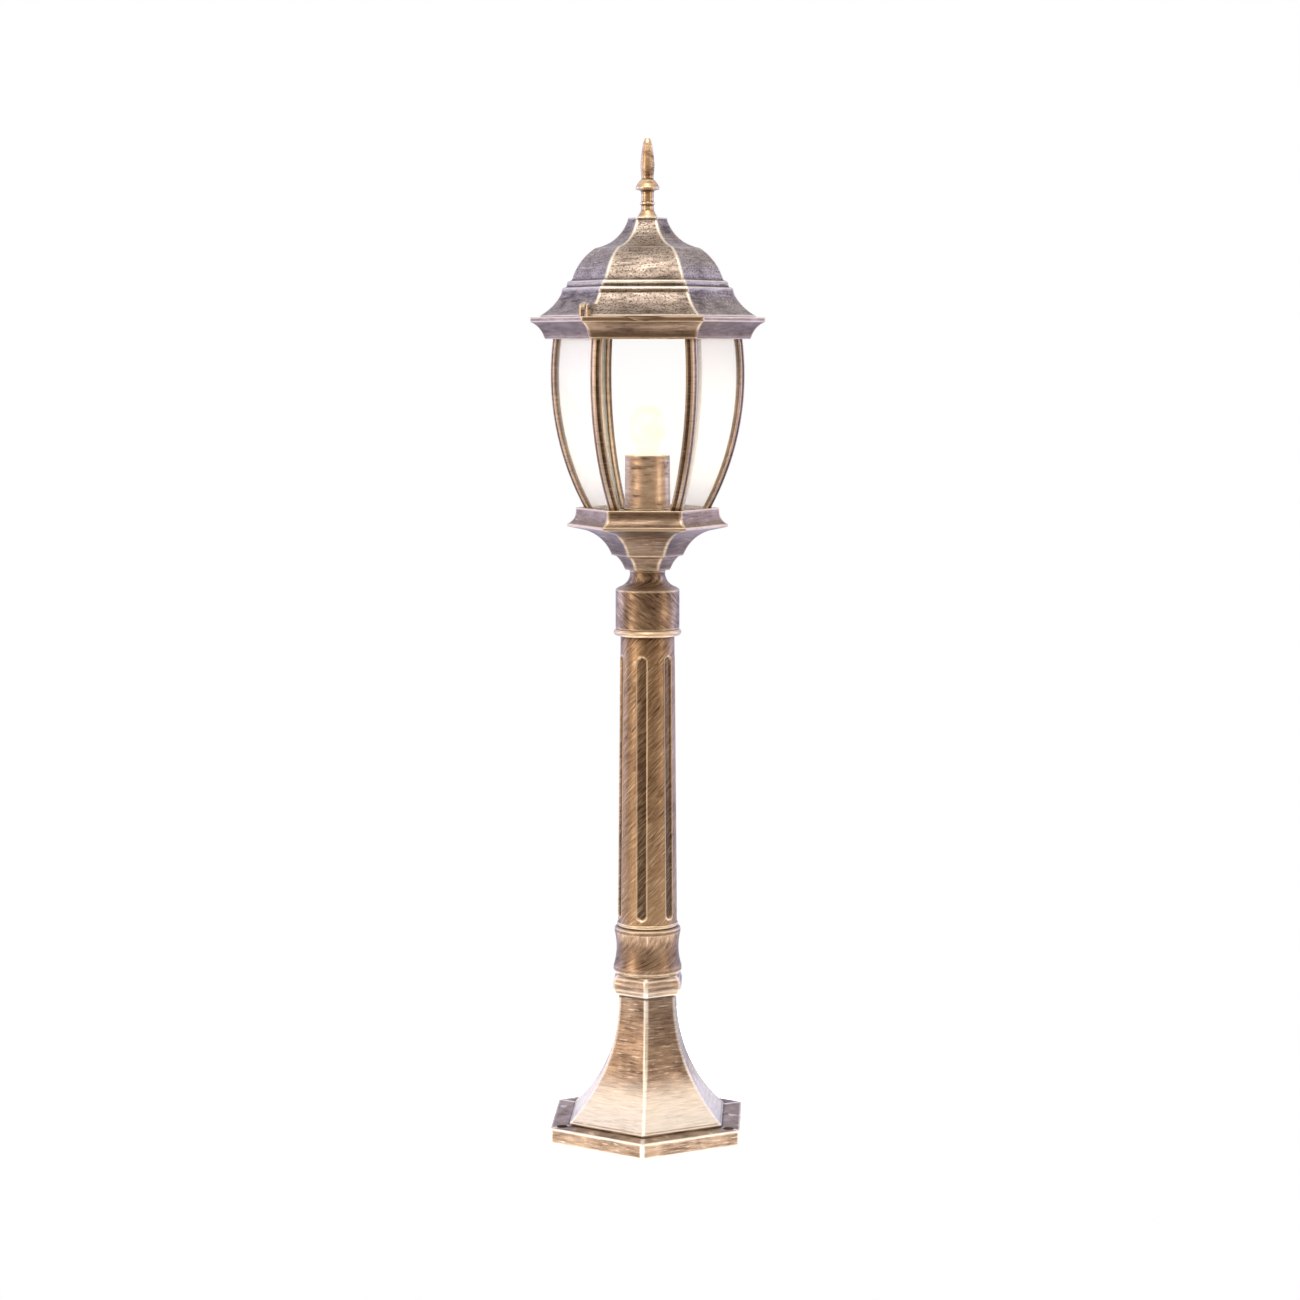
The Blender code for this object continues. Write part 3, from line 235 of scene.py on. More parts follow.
def casting(name, profile, rounding, turn, longest, soften, brushed=None):  # a six-sided skin
    line = stepped(softened(profile, soften), longest)
    turns, along = turning(line)
    rows = []
    for (radius, z), bend, v in zip(line, turns, along):
        if radius < 0.01:
            rows.append([(0, 0, z, 0, 0, 0, v)])
            continue
        row = []
        for x, y, ridge, u in sixSided(radius, rounding, turn):
            # the brushed marks are painted light: a reflection low on the foot's flare, shade on the foot and
            # under the bowl's rim
            worn, dirtAndShade = brushed(x, y, z) if brushed else (0.0, 0.0)
            row.append((x, y, z, clamp(max(ridge, bend, worn)), clamp(max(-bend, dirtAndShade)), u, v))
        rows.append(row)
    return skin(name, rows)


def turned(name, profile, count, longest, soften):  # a round skin
    line = stepped(softened(profile, soften), longest)
    turns, along = turning(line)
    rows = []
    for (radius, z), bend, v in zip(line, turns, along):
        if radius < 0.01:
            rows.append([(0, 0, z, 0, 0, 0, v)])
            continue
        rows.append([(x, y, z, clamp(bend), clamp(-bend), u, v) for x, y, _, u in roundRing(radius, count)])
    return skin(name, rows)


def linked(name, data):  # an object in the scene
    made = bpy.data.objects.new(name, data)
    bpy.context.scene.collection.objects.link(made)
    return made


def piece(name, mesh, body, nodes, finish):
    made = linked(name, mesh)
    mesh.materials.clear()
    mesh.materials.append(finish)
    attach(made, body)
    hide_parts(*nodes)
    return made


def plate(outline, thickness, place, soft):  # a bevelled plate in place, as a loose mesh
    shape = bmesh.new()
    face = shape.faces.new([shape.verts.new((x * mm, y * mm, 0)) for x, y in outline])
    raised = bmesh.ops.extrude_face_region(shape, geom=[face])
    top = [item for item in raised["geom"] if isinstance(item, bmesh.types.BMVert)]
    bmesh.ops.translate(shape, verts=top, vec=(0, 0, thickness * mm))
    bmesh.ops.recalc_face_normals(shape, faces=shape.faces)
    rims = [edge for edge in shape.edges if edge.calc_face_angle(0) > math.radians(40)]
    bmesh.ops.bevel(shape, geom=rims, offset=soft * mm, segments=3, affect="EDGES", profile=0.5)
    shape.transform(place)
    mesh = bpy.data.meshes.new("plate")
    shape.to_mesh(mesh)
    shape.free()
    return mesh


def merged(mesh, extras, wornAt):  # adds loose meshes to a casting's mesh, as if cast in one
    shape = bmesh.new()
    shape.from_mesh(mesh)
    wear = shape.verts.layers.float.get("wear")
    first = len(shape.verts)
    for extra in extras:
        shape.from_mesh(extra)
    shape.verts.ensure_lookup_table()
    for vert in shape.verts[first:]:
        vert[wear] = wornAt
    shape.to_mesh(mesh)
    shape.free()
    crease(mesh, 38)
    return mesh


def barOf(name, points, count, marks):  # a closed bar through rings of so many points each
    faces = [list(range(count))[::-1], [len(points) - count + j for j in range(count)]]
    for start in range(0, len(points) - count, count):
        for j in range(count):
            n = (j + 1) % count
            faces.append([start + j, start + n, start + count + n, start + count + j])
    mesh = meshOf(name, points, faces, marks, None, 30)
    shape = bmesh.new()
    shape.from_mesh(mesh)
    bmesh.ops.recalc_face_normals(shape, faces=shape.faces)
    shape.to_mesh(mesh)
    shape.free()
    return mesh


def holed(mesh, cutters):  # drills a mesh: each cutter is (radius, start, end, sides)
    body = linked("blank", mesh)
    askew = Matrix.Rotation(0.19, 4, "Z")  # keeps the drill's facets off the casting's own planes
    tools = []
    for number, (radius, start, end, sides) in enumerate(cutters):
        shape = bmesh.new()
        start, end = Vector(start) * mm, Vector(end) * mm
        bmesh.ops.create_cone(
            shape, segments=sides, cap_ends=True, depth=(end - start).length,
            radius1=radius * mm, radius2=radius * mm,
        )
        spin = (end - start).to_track_quat("Z", "Y").to_matrix().to_4x4()
        shape.transform(Matrix.Translation((start + end) / 2) @ spin @ askew)
        tool = bpy.data.meshes.new("tool")
        shape.to_mesh(tool)
        shape.free()
        cutter = linked(f"tool{number}", tool)
        tools.append(cutter)
        cut = body.modifiers.new(f"cut{number}", "BOOLEAN")
        cut.object = cutter
        cut.operation = "DIFFERENCE"
        cut.solver = "EXACT"
    bpy.context.view_layer.update()
    graph = bpy.context.evaluated_depsgraph_get()
    result = bpy.data.meshes.new_from_object(
        body.evaluated_get(graph), preserve_all_data_layers=True, depsgraph=graph
    )
    for spare in tools + [body]:
        bpy.data.objects.remove(spare)
    crease(result, 38)
    return result


def about(degrees):
    return Matrix.Rotation(math.radians(degrees), 4, "Z")


def upright(degrees, radius, across, z):  # X points out, Y up and Z round, for plates in a radial plane
    stand = Matrix(((1, 0, 0, radius * mm), (0, 0, -1, across * mm), (0, 1, 0, z * mm), (0, 0, 0, 1)))
    return about(degrees) @ stand


def around(degrees, radius):  # (x, y) that far out from the axis
    return radius * math.cos(math.radians(degrees)), radius * math.sin(math.radians(degrees))


def arc(radius, count, start, end, centre=(0, 0)):
    angles = [math.radians(start + (end - start) * k / count) for k in range(count + 1)]
    return [(centre[0] + radius * math.cos(a), centre[1] + radius * math.sin(a)) for a in angles]


def add(tree, kind, settings=None, links=None):  # one node with its settings and links
    node = tree.nodes.new(kind)
    for key, value in (settings or {}).items():
        if isinstance(key, str) and hasattr(node, key) and key not in node.inputs:
            setattr(node, key, value)
        else:
            node.inputs[key].default_value = value
    for key, source in (links or {}).items():
        tree.links.new(source, node.inputs[key])
    return node


def blank(name):
    made = bpy.data.materials.new(name)
    made.use_nodes = True
    made.node_tree.nodes.clear()
    return made, made.node_tree


def close(tree, shader, bump=None):
    if bump:
        tree.links.new(bump, shader.inputs["Normal"])
    add(tree, "ShaderNodeOutputMaterial", links={"Surface": shader.outputs[0]})


def stops(node, pairs):
    ramp = node.color_ramp
    while len(ramp.elements) > 1:
        ramp.elements.remove(ramp.elements[-1])
    ramp.elements[0].position, ramp.elements[0].color = pairs[0]
    for place, colour in pairs[1:]:
        ramp.elements.new(place).color = colour
    return node


# Antique bronze enamel on sand-cast aluminium, dry-brushed with gold. The eye sees a soft gold-brown
# skin with thin dark and light brush strokes, pale worn edges, brown hollows and sand-cast pits.
# The recess colour also paints shade under the bowl's rim, under the trim ring and high on one side
# of the foot's flare; the pale also paints a reflection low on the flare.
enamelLook = {
    "recess": "#2c221d", "brown": "#5a4639", "bronze": "#927a66", "gold": "#bba28b", "pale": "#e8d3b8",
    "roughness": 0.36, "metallic": 0.8, "strokeMm": 1.5, "strokeLengthMm": 20, "gritMm": 1.3, "blotchMm": 26,
    "pitEdge": 0.43, "middle": 0.46, "spread": 1.0, "crisp": 0.08,
}


def enamel(name, dark, light, grit, lean=None, **changes):  # more dark, light: more strokes of each
    look = {**enamelLook, **changes}
    made, tree = blank(name)
    where = add(tree, "ShaderNodeTexCoord")
    worn = add(tree, "ShaderNodeAttribute", {"attribute_name": "wear"}).outputs["Fac"]
    dirtAndShade = add(tree, "ShaderNodeAttribute", {"attribute_name": "grimeAndShade"}).outputs["Fac"]
    fine, long = 1 / (look["strokeMm"] * mm), 1 / (look["strokeLengthMm"] * mm)

    def noise(vector, scale=1.0, detail=3.0, rough=0.6, bend=0.0):
        settings = {"Scale": scale, "Detail": detail, "Roughness": rough, "Distortion": bend}
        return add(tree, "ShaderNodeTexNoise", settings, {"Vector": vector}).outputs["Fac"]

    def remap(value, low, high, start, end):
        settings = {"From Min": low, "From Max": high, "To Min": start, "To Max": end}
        return add(tree, "ShaderNodeMapRange", settings, {"Value": value}).outputs[0]

    def sums(kind, first, second, clampIt=False):
        settings = {"operation": kind, "use_clamp": clampIt}
        if isinstance(second, float):
            settings[1] = second
            return add(tree, "ShaderNodeMath", settings, {0: first}).outputs[0]
        return add(tree, "ShaderNodeMath", settings, {0: first, 1: second}).outputs[0]

    def layer(under, share, hexColour):
        mix = add(tree, "ShaderNodeMix", {"data_type": "RGBA"})
        mix.inputs[7].default_value = linear(hexColour)
        tree.links.new(share, mix.inputs[0])
        tree.links.new(under, mix.inputs[6])
        return mix.outputs[2]

    def mapped(vector, settings):
        return add(tree, "ShaderNodeMapping", settings, {"Vector": vector}).outputs[0]

    def strokes(turn, width, length, shift):
        if lean is None:  # level strokes, in object metres
            scale = (long / length, long / length, fine / width)
            return mapped(where.outputs["Object"], {"Scale": scale, "Location": (shift, 0, 0)})
        spun = mapped(where.outputs["UV"], {"Rotation": (0, 0, math.radians(lean + turn))})
        unit = mm / uvPerMm
        scale = (long * unit / length, fine * unit / width, 1)
        return mapped(spun, {"Scale": scale, "Location": (shift, 0, 0)})

    broad = noise(strokes(0, 1.6, 1.0, 0), detail=4.0, bend=0.3)
    thin = noise(strokes(9, 0.8, 0.8, 7.3), detail=2.0, bend=0.5)
    blotch = noise(where.outputs["Object"], 1 / (look["blotchMm"] * mm), 3.0, 0.55)
    sand = noise(where.outputs["Object"], 1 / (look["gritMm"] * mm), 3.0, 0.7)
    body = sums("ADD", sums("MULTIPLY", broad, 0.55), sums("MULTIPLY", blotch, 0.45))
    colour = stops(
        add(tree, "ShaderNodeValToRGB", links={"Fac": body}),
        [
            (look["middle"] - 0.1 * look["spread"], linear(look["brown"])),
            (look["middle"], linear(look["bronze"])),
            (look["middle"] + 0.16 * look["spread"], linear(look["gold"])),
        ],
    ).outputs[0]
    edge = 0.33 + 0.12 * dark
    stroke = remap(thin, edge, edge - look["crisp"], 0, 1)
    stroke = sums("MULTIPLY", stroke, remap(blotch, 0.62, 0.38, 0.15, 1.0))
    colour = layer(colour, stroke, look["brown"])
    edge = 0.68 - 0.12 * light
    stroke = remap(thin, edge, edge + look["crisp"], 0, 0.75)
    stroke = sums("MULTIPLY", stroke, remap(blotch, 0.3, 0.6, 0.35, 1.0))
    colour = layer(colour, stroke, look["pale"])
    pits = remap(sand, look["pitEdge"], look["pitEdge"] - 0.08, 0, grit)
    colour = layer(colour, pits, look["brown"])
    # worn edges in the pale colour; low on the foot's flare this is a painted reflection
    rub = sums("MULTIPLY", worn, remap(thin, 0.3, 0.55, 0.7, 1.0), True)
    colour = layer(colour, rub, look["pale"])
    # dark hollows and painted shade, both from the grime attribute, laid in the recess colour
    sunkAndShaded = sums("MULTIPLY", dirtAndShade, remap(thin, 0.62, 0.4, 0.55, 0.95), True)
    colour = layer(colour, sunkAndShaded, look["recess"])
    gloss = remap(body, 0.36, 0.62, look["roughness"] + 0.12, look["roughness"] - 0.04)
    rough = {"Strength": 0.25 + 0.5 * grit, "Distance": 0.3 * mm}
    grain = add(tree, "ShaderNodeBump", rough, {"Height": sand})
    lines = add(
        tree, "ShaderNodeBump", {"Strength": 0.45, "Distance": 0.2 * mm},
        {"Height": thin, "Normal": grain.outputs[0]},
    )
    shader = add(
        tree, "ShaderNodeBsdfPrincipled",
        {"Metallic": look["metallic"], "Coat Weight": 0.25, "Coat Roughness": 0.3},
        {"Base Color": colour, "Roughness": gloss},
    )
    close(tree, shader, lines.outputs[0])
    return made


# Plain stock finishes: a colour that varies a little, with its own grain.
stockLook = {  # dark and light colour, grain in mm, roughness, metallic, grain height in mm
    "zincSteelPlated": ("#7d7f83", "#b9bbbe", 1.2, 0.38, 1.0, 0.02),
    "brassTurned": ("#9a7638", "#d9b566", 0.8, 0.3, 1.0, 0.02),
    "nickelCapRolled": ("#8d8f90", "#cfd0d0", 0.9, 0.27, 1.0, 0.02),
    "porcelainGlazed": ("#d8d4c9", "#efece4", 5.0, 0.18, 0.0, 0.03),
    "polyamideMoulded": ("#c9c3b2", "#dcd7c9", 0.5, 0.52, 0.0, 0.04),
    "rubberSheathExtruded": ("#101010", "#232323", 0.6, 0.6, 0.0, 0.05),
}


def stock(name):
    low, high, grainMm, roughness, metallic, heightMm = stockLook[name]
    made, tree = blank(name)
    where = add(tree, "ShaderNodeTexCoord").outputs["Object"]
    cloudScale, grainScale = 1 / (grainMm * 6 * mm), 1 / (grainMm * mm)
    cloud = add(tree, "ShaderNodeTexNoise", {"Scale": cloudScale, "Detail": 4.0}, {"Vector": where})
    grain = add(tree, "ShaderNodeTexNoise", {"Scale": grainScale, "Detail": 3.0}, {"Vector": where})
    colour = stops(
        add(tree, "ShaderNodeValToRGB", links={"Fac": cloud.outputs["Fac"]}),
        [(0.34, linear(low)), (0.64, linear(high))],
    )
    rough = add(
        tree, "ShaderNodeMapRange", {"To Min": roughness - 0.07, "To Max": roughness + 0.1},
        {"Value": grain.outputs["Fac"]},
    )
    height = {"Height": grain.outputs["Fac"]}
    bump = add(tree, "ShaderNodeBump", {"Strength": 0.4, "Distance": heightMm * mm}, height)
    shader = add(
        tree, "ShaderNodeBsdfPrincipled", {"Metallic": metallic},
        {"Base Color": colour.outputs[0], "Roughness": rough.outputs[0]},
    )
    close(tree, shader, bump.outputs[0])
    return made


# Clear float glass, slumped to a curve: nearly unseen face on, greyer where it is looked along.
glassLook = {
    "tint": "#eef3f6", "clear": 0.02, "edge": 0.62, "roughness": 0.03, "facing": 0.28,
    "wavesPerMetre": 26.0, "ripple": 0.08, "rippleMm": 0.4,
}


def slumpedGlass():
    made, tree = blank("floatGlassSlumped")
    where = add(tree, "ShaderNodeTexCoord").outputs["Object"]
    scale = glassLook["wavesPerMetre"]
    wave = add(tree, "ShaderNodeTexNoise", {"Scale": scale, "Detail": 1.0}, {"Vector": where})
    bump = add(
        tree, "ShaderNodeBump", {"Strength": glassLook["ripple"], "Distance": glassLook["rippleMm"] * mm},
        {"Height": wave.outputs["Fac"]},
    )
    facing = add(tree, "ShaderNodeLayerWeight", {"Blend": glassLook["facing"]}, {"Normal": bump.outputs[0]})
    opacity = add(
        tree, "ShaderNodeMapRange", {"To Min": glassLook["clear"], "To Max": glassLook["edge"]},
        {"Value": facing.outputs["Facing"]},
    )
    shader = add(
        tree, "ShaderNodeBsdfPrincipled",
        {"Base Color": linear(glassLook["tint"]), "Roughness": glassLook["roughness"], "Metallic": 0.0},
        {"Alpha": opacity.outputs[0]},
    )
    close(tree, shader, bump.outputs[0])
    return made


# Opal lamp glass, lit from inside: an even warm white with a satin skin.
lampLook = {"cream": "#fff6dd", "white": "#fffdf0", "skin": "#8f8b84", "glow": 0.97, "roughness": 0.25}


def opalGlass():
    made, tree = blank("opalGlassBlown")
    where = add(tree, "ShaderNodeTexCoord").outputs["Object"]
    cloud = add(tree, "ShaderNodeTexNoise", {"Scale": 60.0, "Detail": 2.0}, {"Vector": where})
    colour = stops(
        add(tree, "ShaderNodeValToRGB", links={"Fac": cloud.outputs["Fac"]}),
        [(0.3, linear(lampLook["cream"])), (0.7, linear(lampLook["white"]))],
    )
    skinColour, roughness, glow = linear(lampLook["skin"]), lampLook["roughness"], lampLook["glow"]
    shader = add(
        tree, "ShaderNodeBsdfPrincipled",
        {"Base Color": skinColour, "Roughness": roughness, "Emission Strength": glow},
        {"Emission Color": colour.outputs[0]},
    )
    close(tree, shader)
    return made


castLevel = enamel("bronzeEnamelDryBrushedLevel", dark=0.4, light=0.4, grit=0.3, spread=1.7)
# The foot's pale is also its painted reflection low on the flare.
castFoot = enamel(
    "bronzeEnamelDryBrushedFoot", dark=0.45, light=0.6, grit=0.35, gold="#c0a78f", pale="#f7eee2",
)
castRoof = enamel(
    "bronzeEnamelDryBrushedSandCast", dark=0.25, light=0.5, grit=0.95, gritMm=2.0, pitEdge=0.48,
    brown="#463a34", bronze="#8d7e74", gold="#b2a398", pale="#eadfcf", metallic=0.75,
)
castRising = enamel(
    "bronzeEnamelDryBrushedRising", dark=0.8, light=0.8, lean=38, grit=0.25,
    blotchMm=45, spread=1.4, crisp=0.035,
    brown="#5a422f", bronze="#b0906f", gold="#d2b18c", pale="#f3e0c2",
)
castCollar = enamel(
    "bronzeEnamelDryBrushedCollar", dark=0.7, light=0.6, lean=38, grit=0.25, strokeMm=1.9,
    brown="#523f31", bronze="#947860", gold="#bc9f83", pale="#ead6bc",
)
castFalling = enamel(
    "bronzeEnamelDryBrushedFalling", dark=0.75, light=0.6, lean=-35, grit=0.25, crisp=0.04,
    brown="#523d2e", gold="#cdb092",
)
# The ribs' bronze is painted darker all over than the other castings, as painted shade; their crowns keep
# pale wear.
castRibsShaded = enamel(
    "bronzeEnamelRibsPaintedShade", dark=0.7, light=0.3, grit=0.2,
    brown="#3d2f28", bronze="#75594a", gold="#a88a73", pale="#f0dcc4",
)
castGold = enamel(
    "goldEnamelRubbed", dark=0.1, light=1.0, grit=0.1, strokeMm=3.0,
    bronze="#c9a986", gold="#e9cba6", pale="#f8e2c4",
)
castSleeve = enamel(
    "goldEnamelSleeve", dark=-0.6, light=0.8, grit=0.2, strokeMm=2.4, bronze="#bd9f84", gold="#e2c8aa",
)
zinc, brass, nickel = stock("zincSteelPlated"), stock("brassTurned"), stock("nickelCapRolled")
porcelain, polyamide = stock("porcelainGlazed"), stock("polyamideMoulded")
sheath = stock("rubberSheathExtruded")
clearGlass, opal = slumpedGlass(), opalGlass()
print("finishes made")

foot = {
    "band": [
        (0, 164.5), (34.5, 164.5), (38.0, 161.6), (39.5, 156.5), (39.5, 150.5), (37.6, 145.6), (33.6, 143.7),
    ],
    "neck": (32.6, 143.2), "flareFoot": (86.0, 20.6), "flareSag": 14.5,
    "flange": [(88.2, 18.6), (88.2, 16.0), (109.9, 16.0), (109.9, 0.0), (80.0, 0.0)],
    "wall": 4.6, "inside": 80.0, "ridge": 2.6, "holeCircle": 96.5, "hole": 5.6, "holeAngles": (90, 210, 330),
    "deck": 159.5, "paintedSheenBelow": 72.0, "paintedShadeAbove": 88.0,
}


def footPaintedLight(x, y, z):  # painted reflection, almost cream low on the flare; painted shade, brown high on the +x side
    if z < 20.0 or z > 143.0:
        return 0.0, 0.0
    pale = 0.8 * (1 - ease(z, foot["paintedSheenBelow"] - 32, foot["paintedSheenBelow"]))
    brown = 0.55 * ease(x, -2, 6) * ease(z, foot["paintedShadeAbove"] - 30, foot["paintedShadeAbove"])
    return pale, brown


def makeFoot():
    flare = [foot["neck"]] + bow(foot["neck"], foot["flareFoot"], -foot["flareSag"], 22)
    inside = [(min(radius - foot["wall"], foot["inside"]), z) for radius, z in reversed(flare)]
    profile = foot["band"] + flare + foot["flange"] + inside + [(0, foot["deck"])]
    mesh = casting("foot", profile, foot["ridge"], 30, 2.2, 0.9, footPaintedLight)
    holes = []
    for angle in foot["holeAngles"]:
        x, y = around(angle, foot["holeCircle"])
        holes.append((foot["hole"], (x, y, -20), (x, y, 40), 40))
    piece("footCasting", holed(mesh, holes), "post", ["foot_casting"], castFoot)


collar = {"bore": 30.1, "waist": 2.5}


def makeCollar():
    profile = [(31.2, 212.8), (33.3, 211.2), (33.4, 207.6)]
    profile += bow(profile[-1], (34.4, 172.0), -collar["waist"], 16)
    profile += [(34.5, 168.0), (32.6, 164.8), (collar["bore"], 164.8), (collar["bore"], 212.8), (31.2, 212.8)]
    mesh = turned("collar", profile, 112, 1.6, 1.2)
    piece("lowerCollar", mesh, "post", ["lower_collar"], castCollar)


post = {
    "footRadius": 29.7, "topRadius": 27.0, "low": 217.5, "high": 508.3, "flutes": 6, "turn": -9,
    "fluteWidth": 9.6, "fluteLow": 223.0, "fluteHigh": 488.5, "depth": 1.5, "border": 1.5, "raise": 0.5,
    "sides": 360, "bore": 22.0, "spigot": 25, "spigotTop": 539.3,
    "fineEnd": 9, "fineStep": 0.8, "longStep": 5.0,
    "bead": [  # radius, height, wear, grime
        (29.9, 217.4, 0, 0.9), (30.4, 217.0, 0.8, 0), (30.7, 216.2, 1, 0), (30.7, 214.4, 0.9, 0),
        (30.3, 213.6, 0.3, 0.5), (29.7, 213.1, 0, 1), (29.7, 164.8, 0, 1), (26.7, 164.8, 0, 0),
    ],
}


def fluteAt(theta, z, radius):  # height above the plain surface, gold on the border, brown in the floor
    best = 99.0
    for k in range(post["flutes"]):
        centre = math.radians(270 + post["turn"] + 60 * k)
        swing = (theta - centre + math.pi) % math.tau - math.pi
        half = post["fluteWidth"] / 2
        across = abs(swing) * radius
        over = max(0.0, post["fluteLow"] + half - z, z - post["fluteHigh"] + half)
        best = min(best, math.hypot(across, over) - half)
    sink = -post["depth"] * (1 - ease(best, -1.5, -0.1))
    rim = math.exp(-((best - 0.55) / (post["border"] * 0.42)) ** 2)
    floor = 1 - ease(best, -1.0, -0.2)
    return sink + post["raise"] * rim, rim, floor


def makePost():
    bore, spigot, top = post["bore"], post["spigot"], post["spigotTop"]
    heights = [post["low"] + 0.4]
    z = heights[0]
    while z < post["high"]:  # closer rings round the flutes' ends
        fineBand = z < post["fluteLow"] + post["fineEnd"] or z > post["fluteHigh"] - post["fineEnd"]
        z = min(post["high"], z + post["fineStep" if fineBand else "longStep"])
        heights.append(z)
    heights.reverse()

    def plain(radius, level, wear=0.0, grimeAndShade=0.0):
        return [(x, y, level, wear, grimeAndShade, u, -level) for x, y, _, u in roundRing(radius, post["sides"])]

    # painted shade under the trim ring: full dark at the post's top edge, fading out over its top 5 mm
    rows = [plain(spigot - 1, top), plain(spigot, top - 1), plain(spigot, trim["low"], 0, 1)]
    rows.append(plain(post["topRadius"] - 0.6, post["high"], 0, 1))
    for level in heights:
        t = (level - post["low"]) / (post["high"] - post["low"])
        radius = post["footRadius"] + (post["topRadius"] - post["footRadius"]) * t
        shade = 0.9 * ease(level, post["high"] - 5, post["high"])
        row = []
        for k in range(post["sides"]):
            theta = math.tau * k / post["sides"]
            rise, rim, floor = fluteAt(theta, level, radius)
            out = radius + rise
            row.append((
                out * math.cos(theta), out * math.sin(theta), level,
                clamp(rim), clamp(max((0.95 - 0.45 * t) * floor, shade)), radius * theta, -level,
            ))
        rows.append(row)
    rows += [plain(*spot) for spot in post["bead"]]
    rows += [plain(bore, post["high"]), plain(bore, top), plain(spigot - 1, top)]
    piece("flutedPost", skin("post", rows), "post", ["fluted_post"], castRising)


trim = {"radius": 34.0, "low": 508.6, "height": 6.0, "bore": 25.5}


def makeTrim():
    low, high, out = trim["low"], trim["low"] + trim["height"], trim["radius"]
    profile = [(trim["bore"], high), (out - 2.0, high)]
    profile += bow(profile[-1], (out - 2.0, low), 2.0, 12)
    profile += [(trim["bore"], low), (trim["bore"], high)]
    mesh = turned("trim", profile, 112, 1.2, 0.2)
    piece("trimRing", mesh, "post", ["trim_ring"], castGold)


fitter = {
    "low": 514.9, "skirtTop": 555.7, "top": 573.7, "skirt": 32.0, "neck": 17.6, "bore": 25.5, "well": 13.6,
    "stemHole": 6.9, "screwHole": 2.9, "screwAngles": (50, 130),
}


def makeFitter():
    low, deck, top = fitter["low"], fitter["skirtTop"], fitter["top"]
    skirt, neck, bore, well, stem = (fitter[key] for key in ("skirt", "neck", "bore", "well", "stemHole"))
    profile = [(stem, top), (18.2, top), (neck, top - 2.2), (neck, top - 4.6)]
    profile += bow(profile[-1], (28.6, deck + 1.0), -2.4, 12)
    profile += [(30.4, deck), (skirt, deck - 1.4), (skirt, low + 0.6), (31.4, low), (bore, low)]
    profile += [(bore, deck - 4), (well, deck - 4), (well, top - 4), (stem, top - 4), (stem, top)]
    mesh = turned("fitter", profile, 112, 1.6, 0.7)
    holes = []
    for angle in fitter["screwAngles"]:
        inner, outer = around(angle, 22), around(angle, 40)
        holes.append((fitter["screwHole"], (*inner, low + 12), (*outer, low + 12), 32))
    piece("swivelFitter", holed(mesh, holes), "head", ["swivel_fitter"], castFalling)


# the bowl's brown sets the strength of the painted shade under its rim
bowl = {"base": 574.0, "ridge": 1.7, "brown": 0.5, "stemHole": 6.9}
ribScrewHole = 2.0


def bowlPaintedShade(x, y, z):  # painted shade: brown in the hollow under the rim, across the middle of the front and back faces
    z -= bowl["base"]
    return 0.0, bowl["brown"] * ease(z, 14, 24) * (1 - ease(z, 40, 45)) * (1 - ease(abs(x), 26, 40))


def makeBowl():
    z = bowl["base"]
    profile = [(0, z + 5), (19.8, z + 5), (31.5, z + 18.5)]
    profile += bow(profile[-1], (58.5, z + 42.2), 3.4, 6)
    profile += [(68.3, z + 44.7), (66.2, z + 53.4), (43, z + 53.4), (43, z + 56.9), (68.3, z + 56.9)]
    profile += [(68.3, z + 62.2), (71.8, z + 62.2), (71.9, z + 60.0)]
    profile += bow(profile[-1], (79.3, z + 46.4), -2.4, 9)
    profile += [(80.5, z + 45.9), (80.5, z + 43.2), (62.0, z + 39.4)]
    profile += bow(profile[-1], (36.4, z + 15.6), -4.0, 14)
    profile += [(36.0, z + 14.8), (31.6, z + 13.6)]
    profile += bow(profile[-1], (23.6, z + 1.8), -0.9, 6)
    profile += [(22.3, z), (0, z)]
    mesh = casting("bowl", profile, bowl["ridge"], 0, 1.9, 0.7, bowlPaintedShade)
    holes = [(bowl["stemHole"], (0, 0, z - 10), (0, 0, z + 10), 32)]
    for k in range(6):
        spot = around(60 * k, ribs["lowScrew"])
        holes.append((ribScrewHole, (*spot, z + 48), (*spot, z + 64), 20))
    piece("lanternBowl", holed(mesh, holes), "head", ["lantern_bowl"], castLevel)


ribs = {
    "bulge": 97.0, "bulgeZ": 767.2, "curve": 276.9, "low": 631.2, "high": 810.9, "wing": 7.5, "skin": 2.5,
    "web": 1.3, "depth": 9.0, "tab": 3.0, "stations": 36, "lowScrew": 47.0, "highScrew": 79.4,
}


def ribRadius(z):
    return ribs["bulge"] - ribs["curve"] + math.sqrt(ribs["curve"] ** 2 - (z - ribs["bulgeZ"]) ** 2)


def inset(z, depth):  # level distance for a depth square to the curve
    return depth / math.sqrt(1 - ((z - ribs["bulgeZ"]) / ribs["curve"]) ** 2)


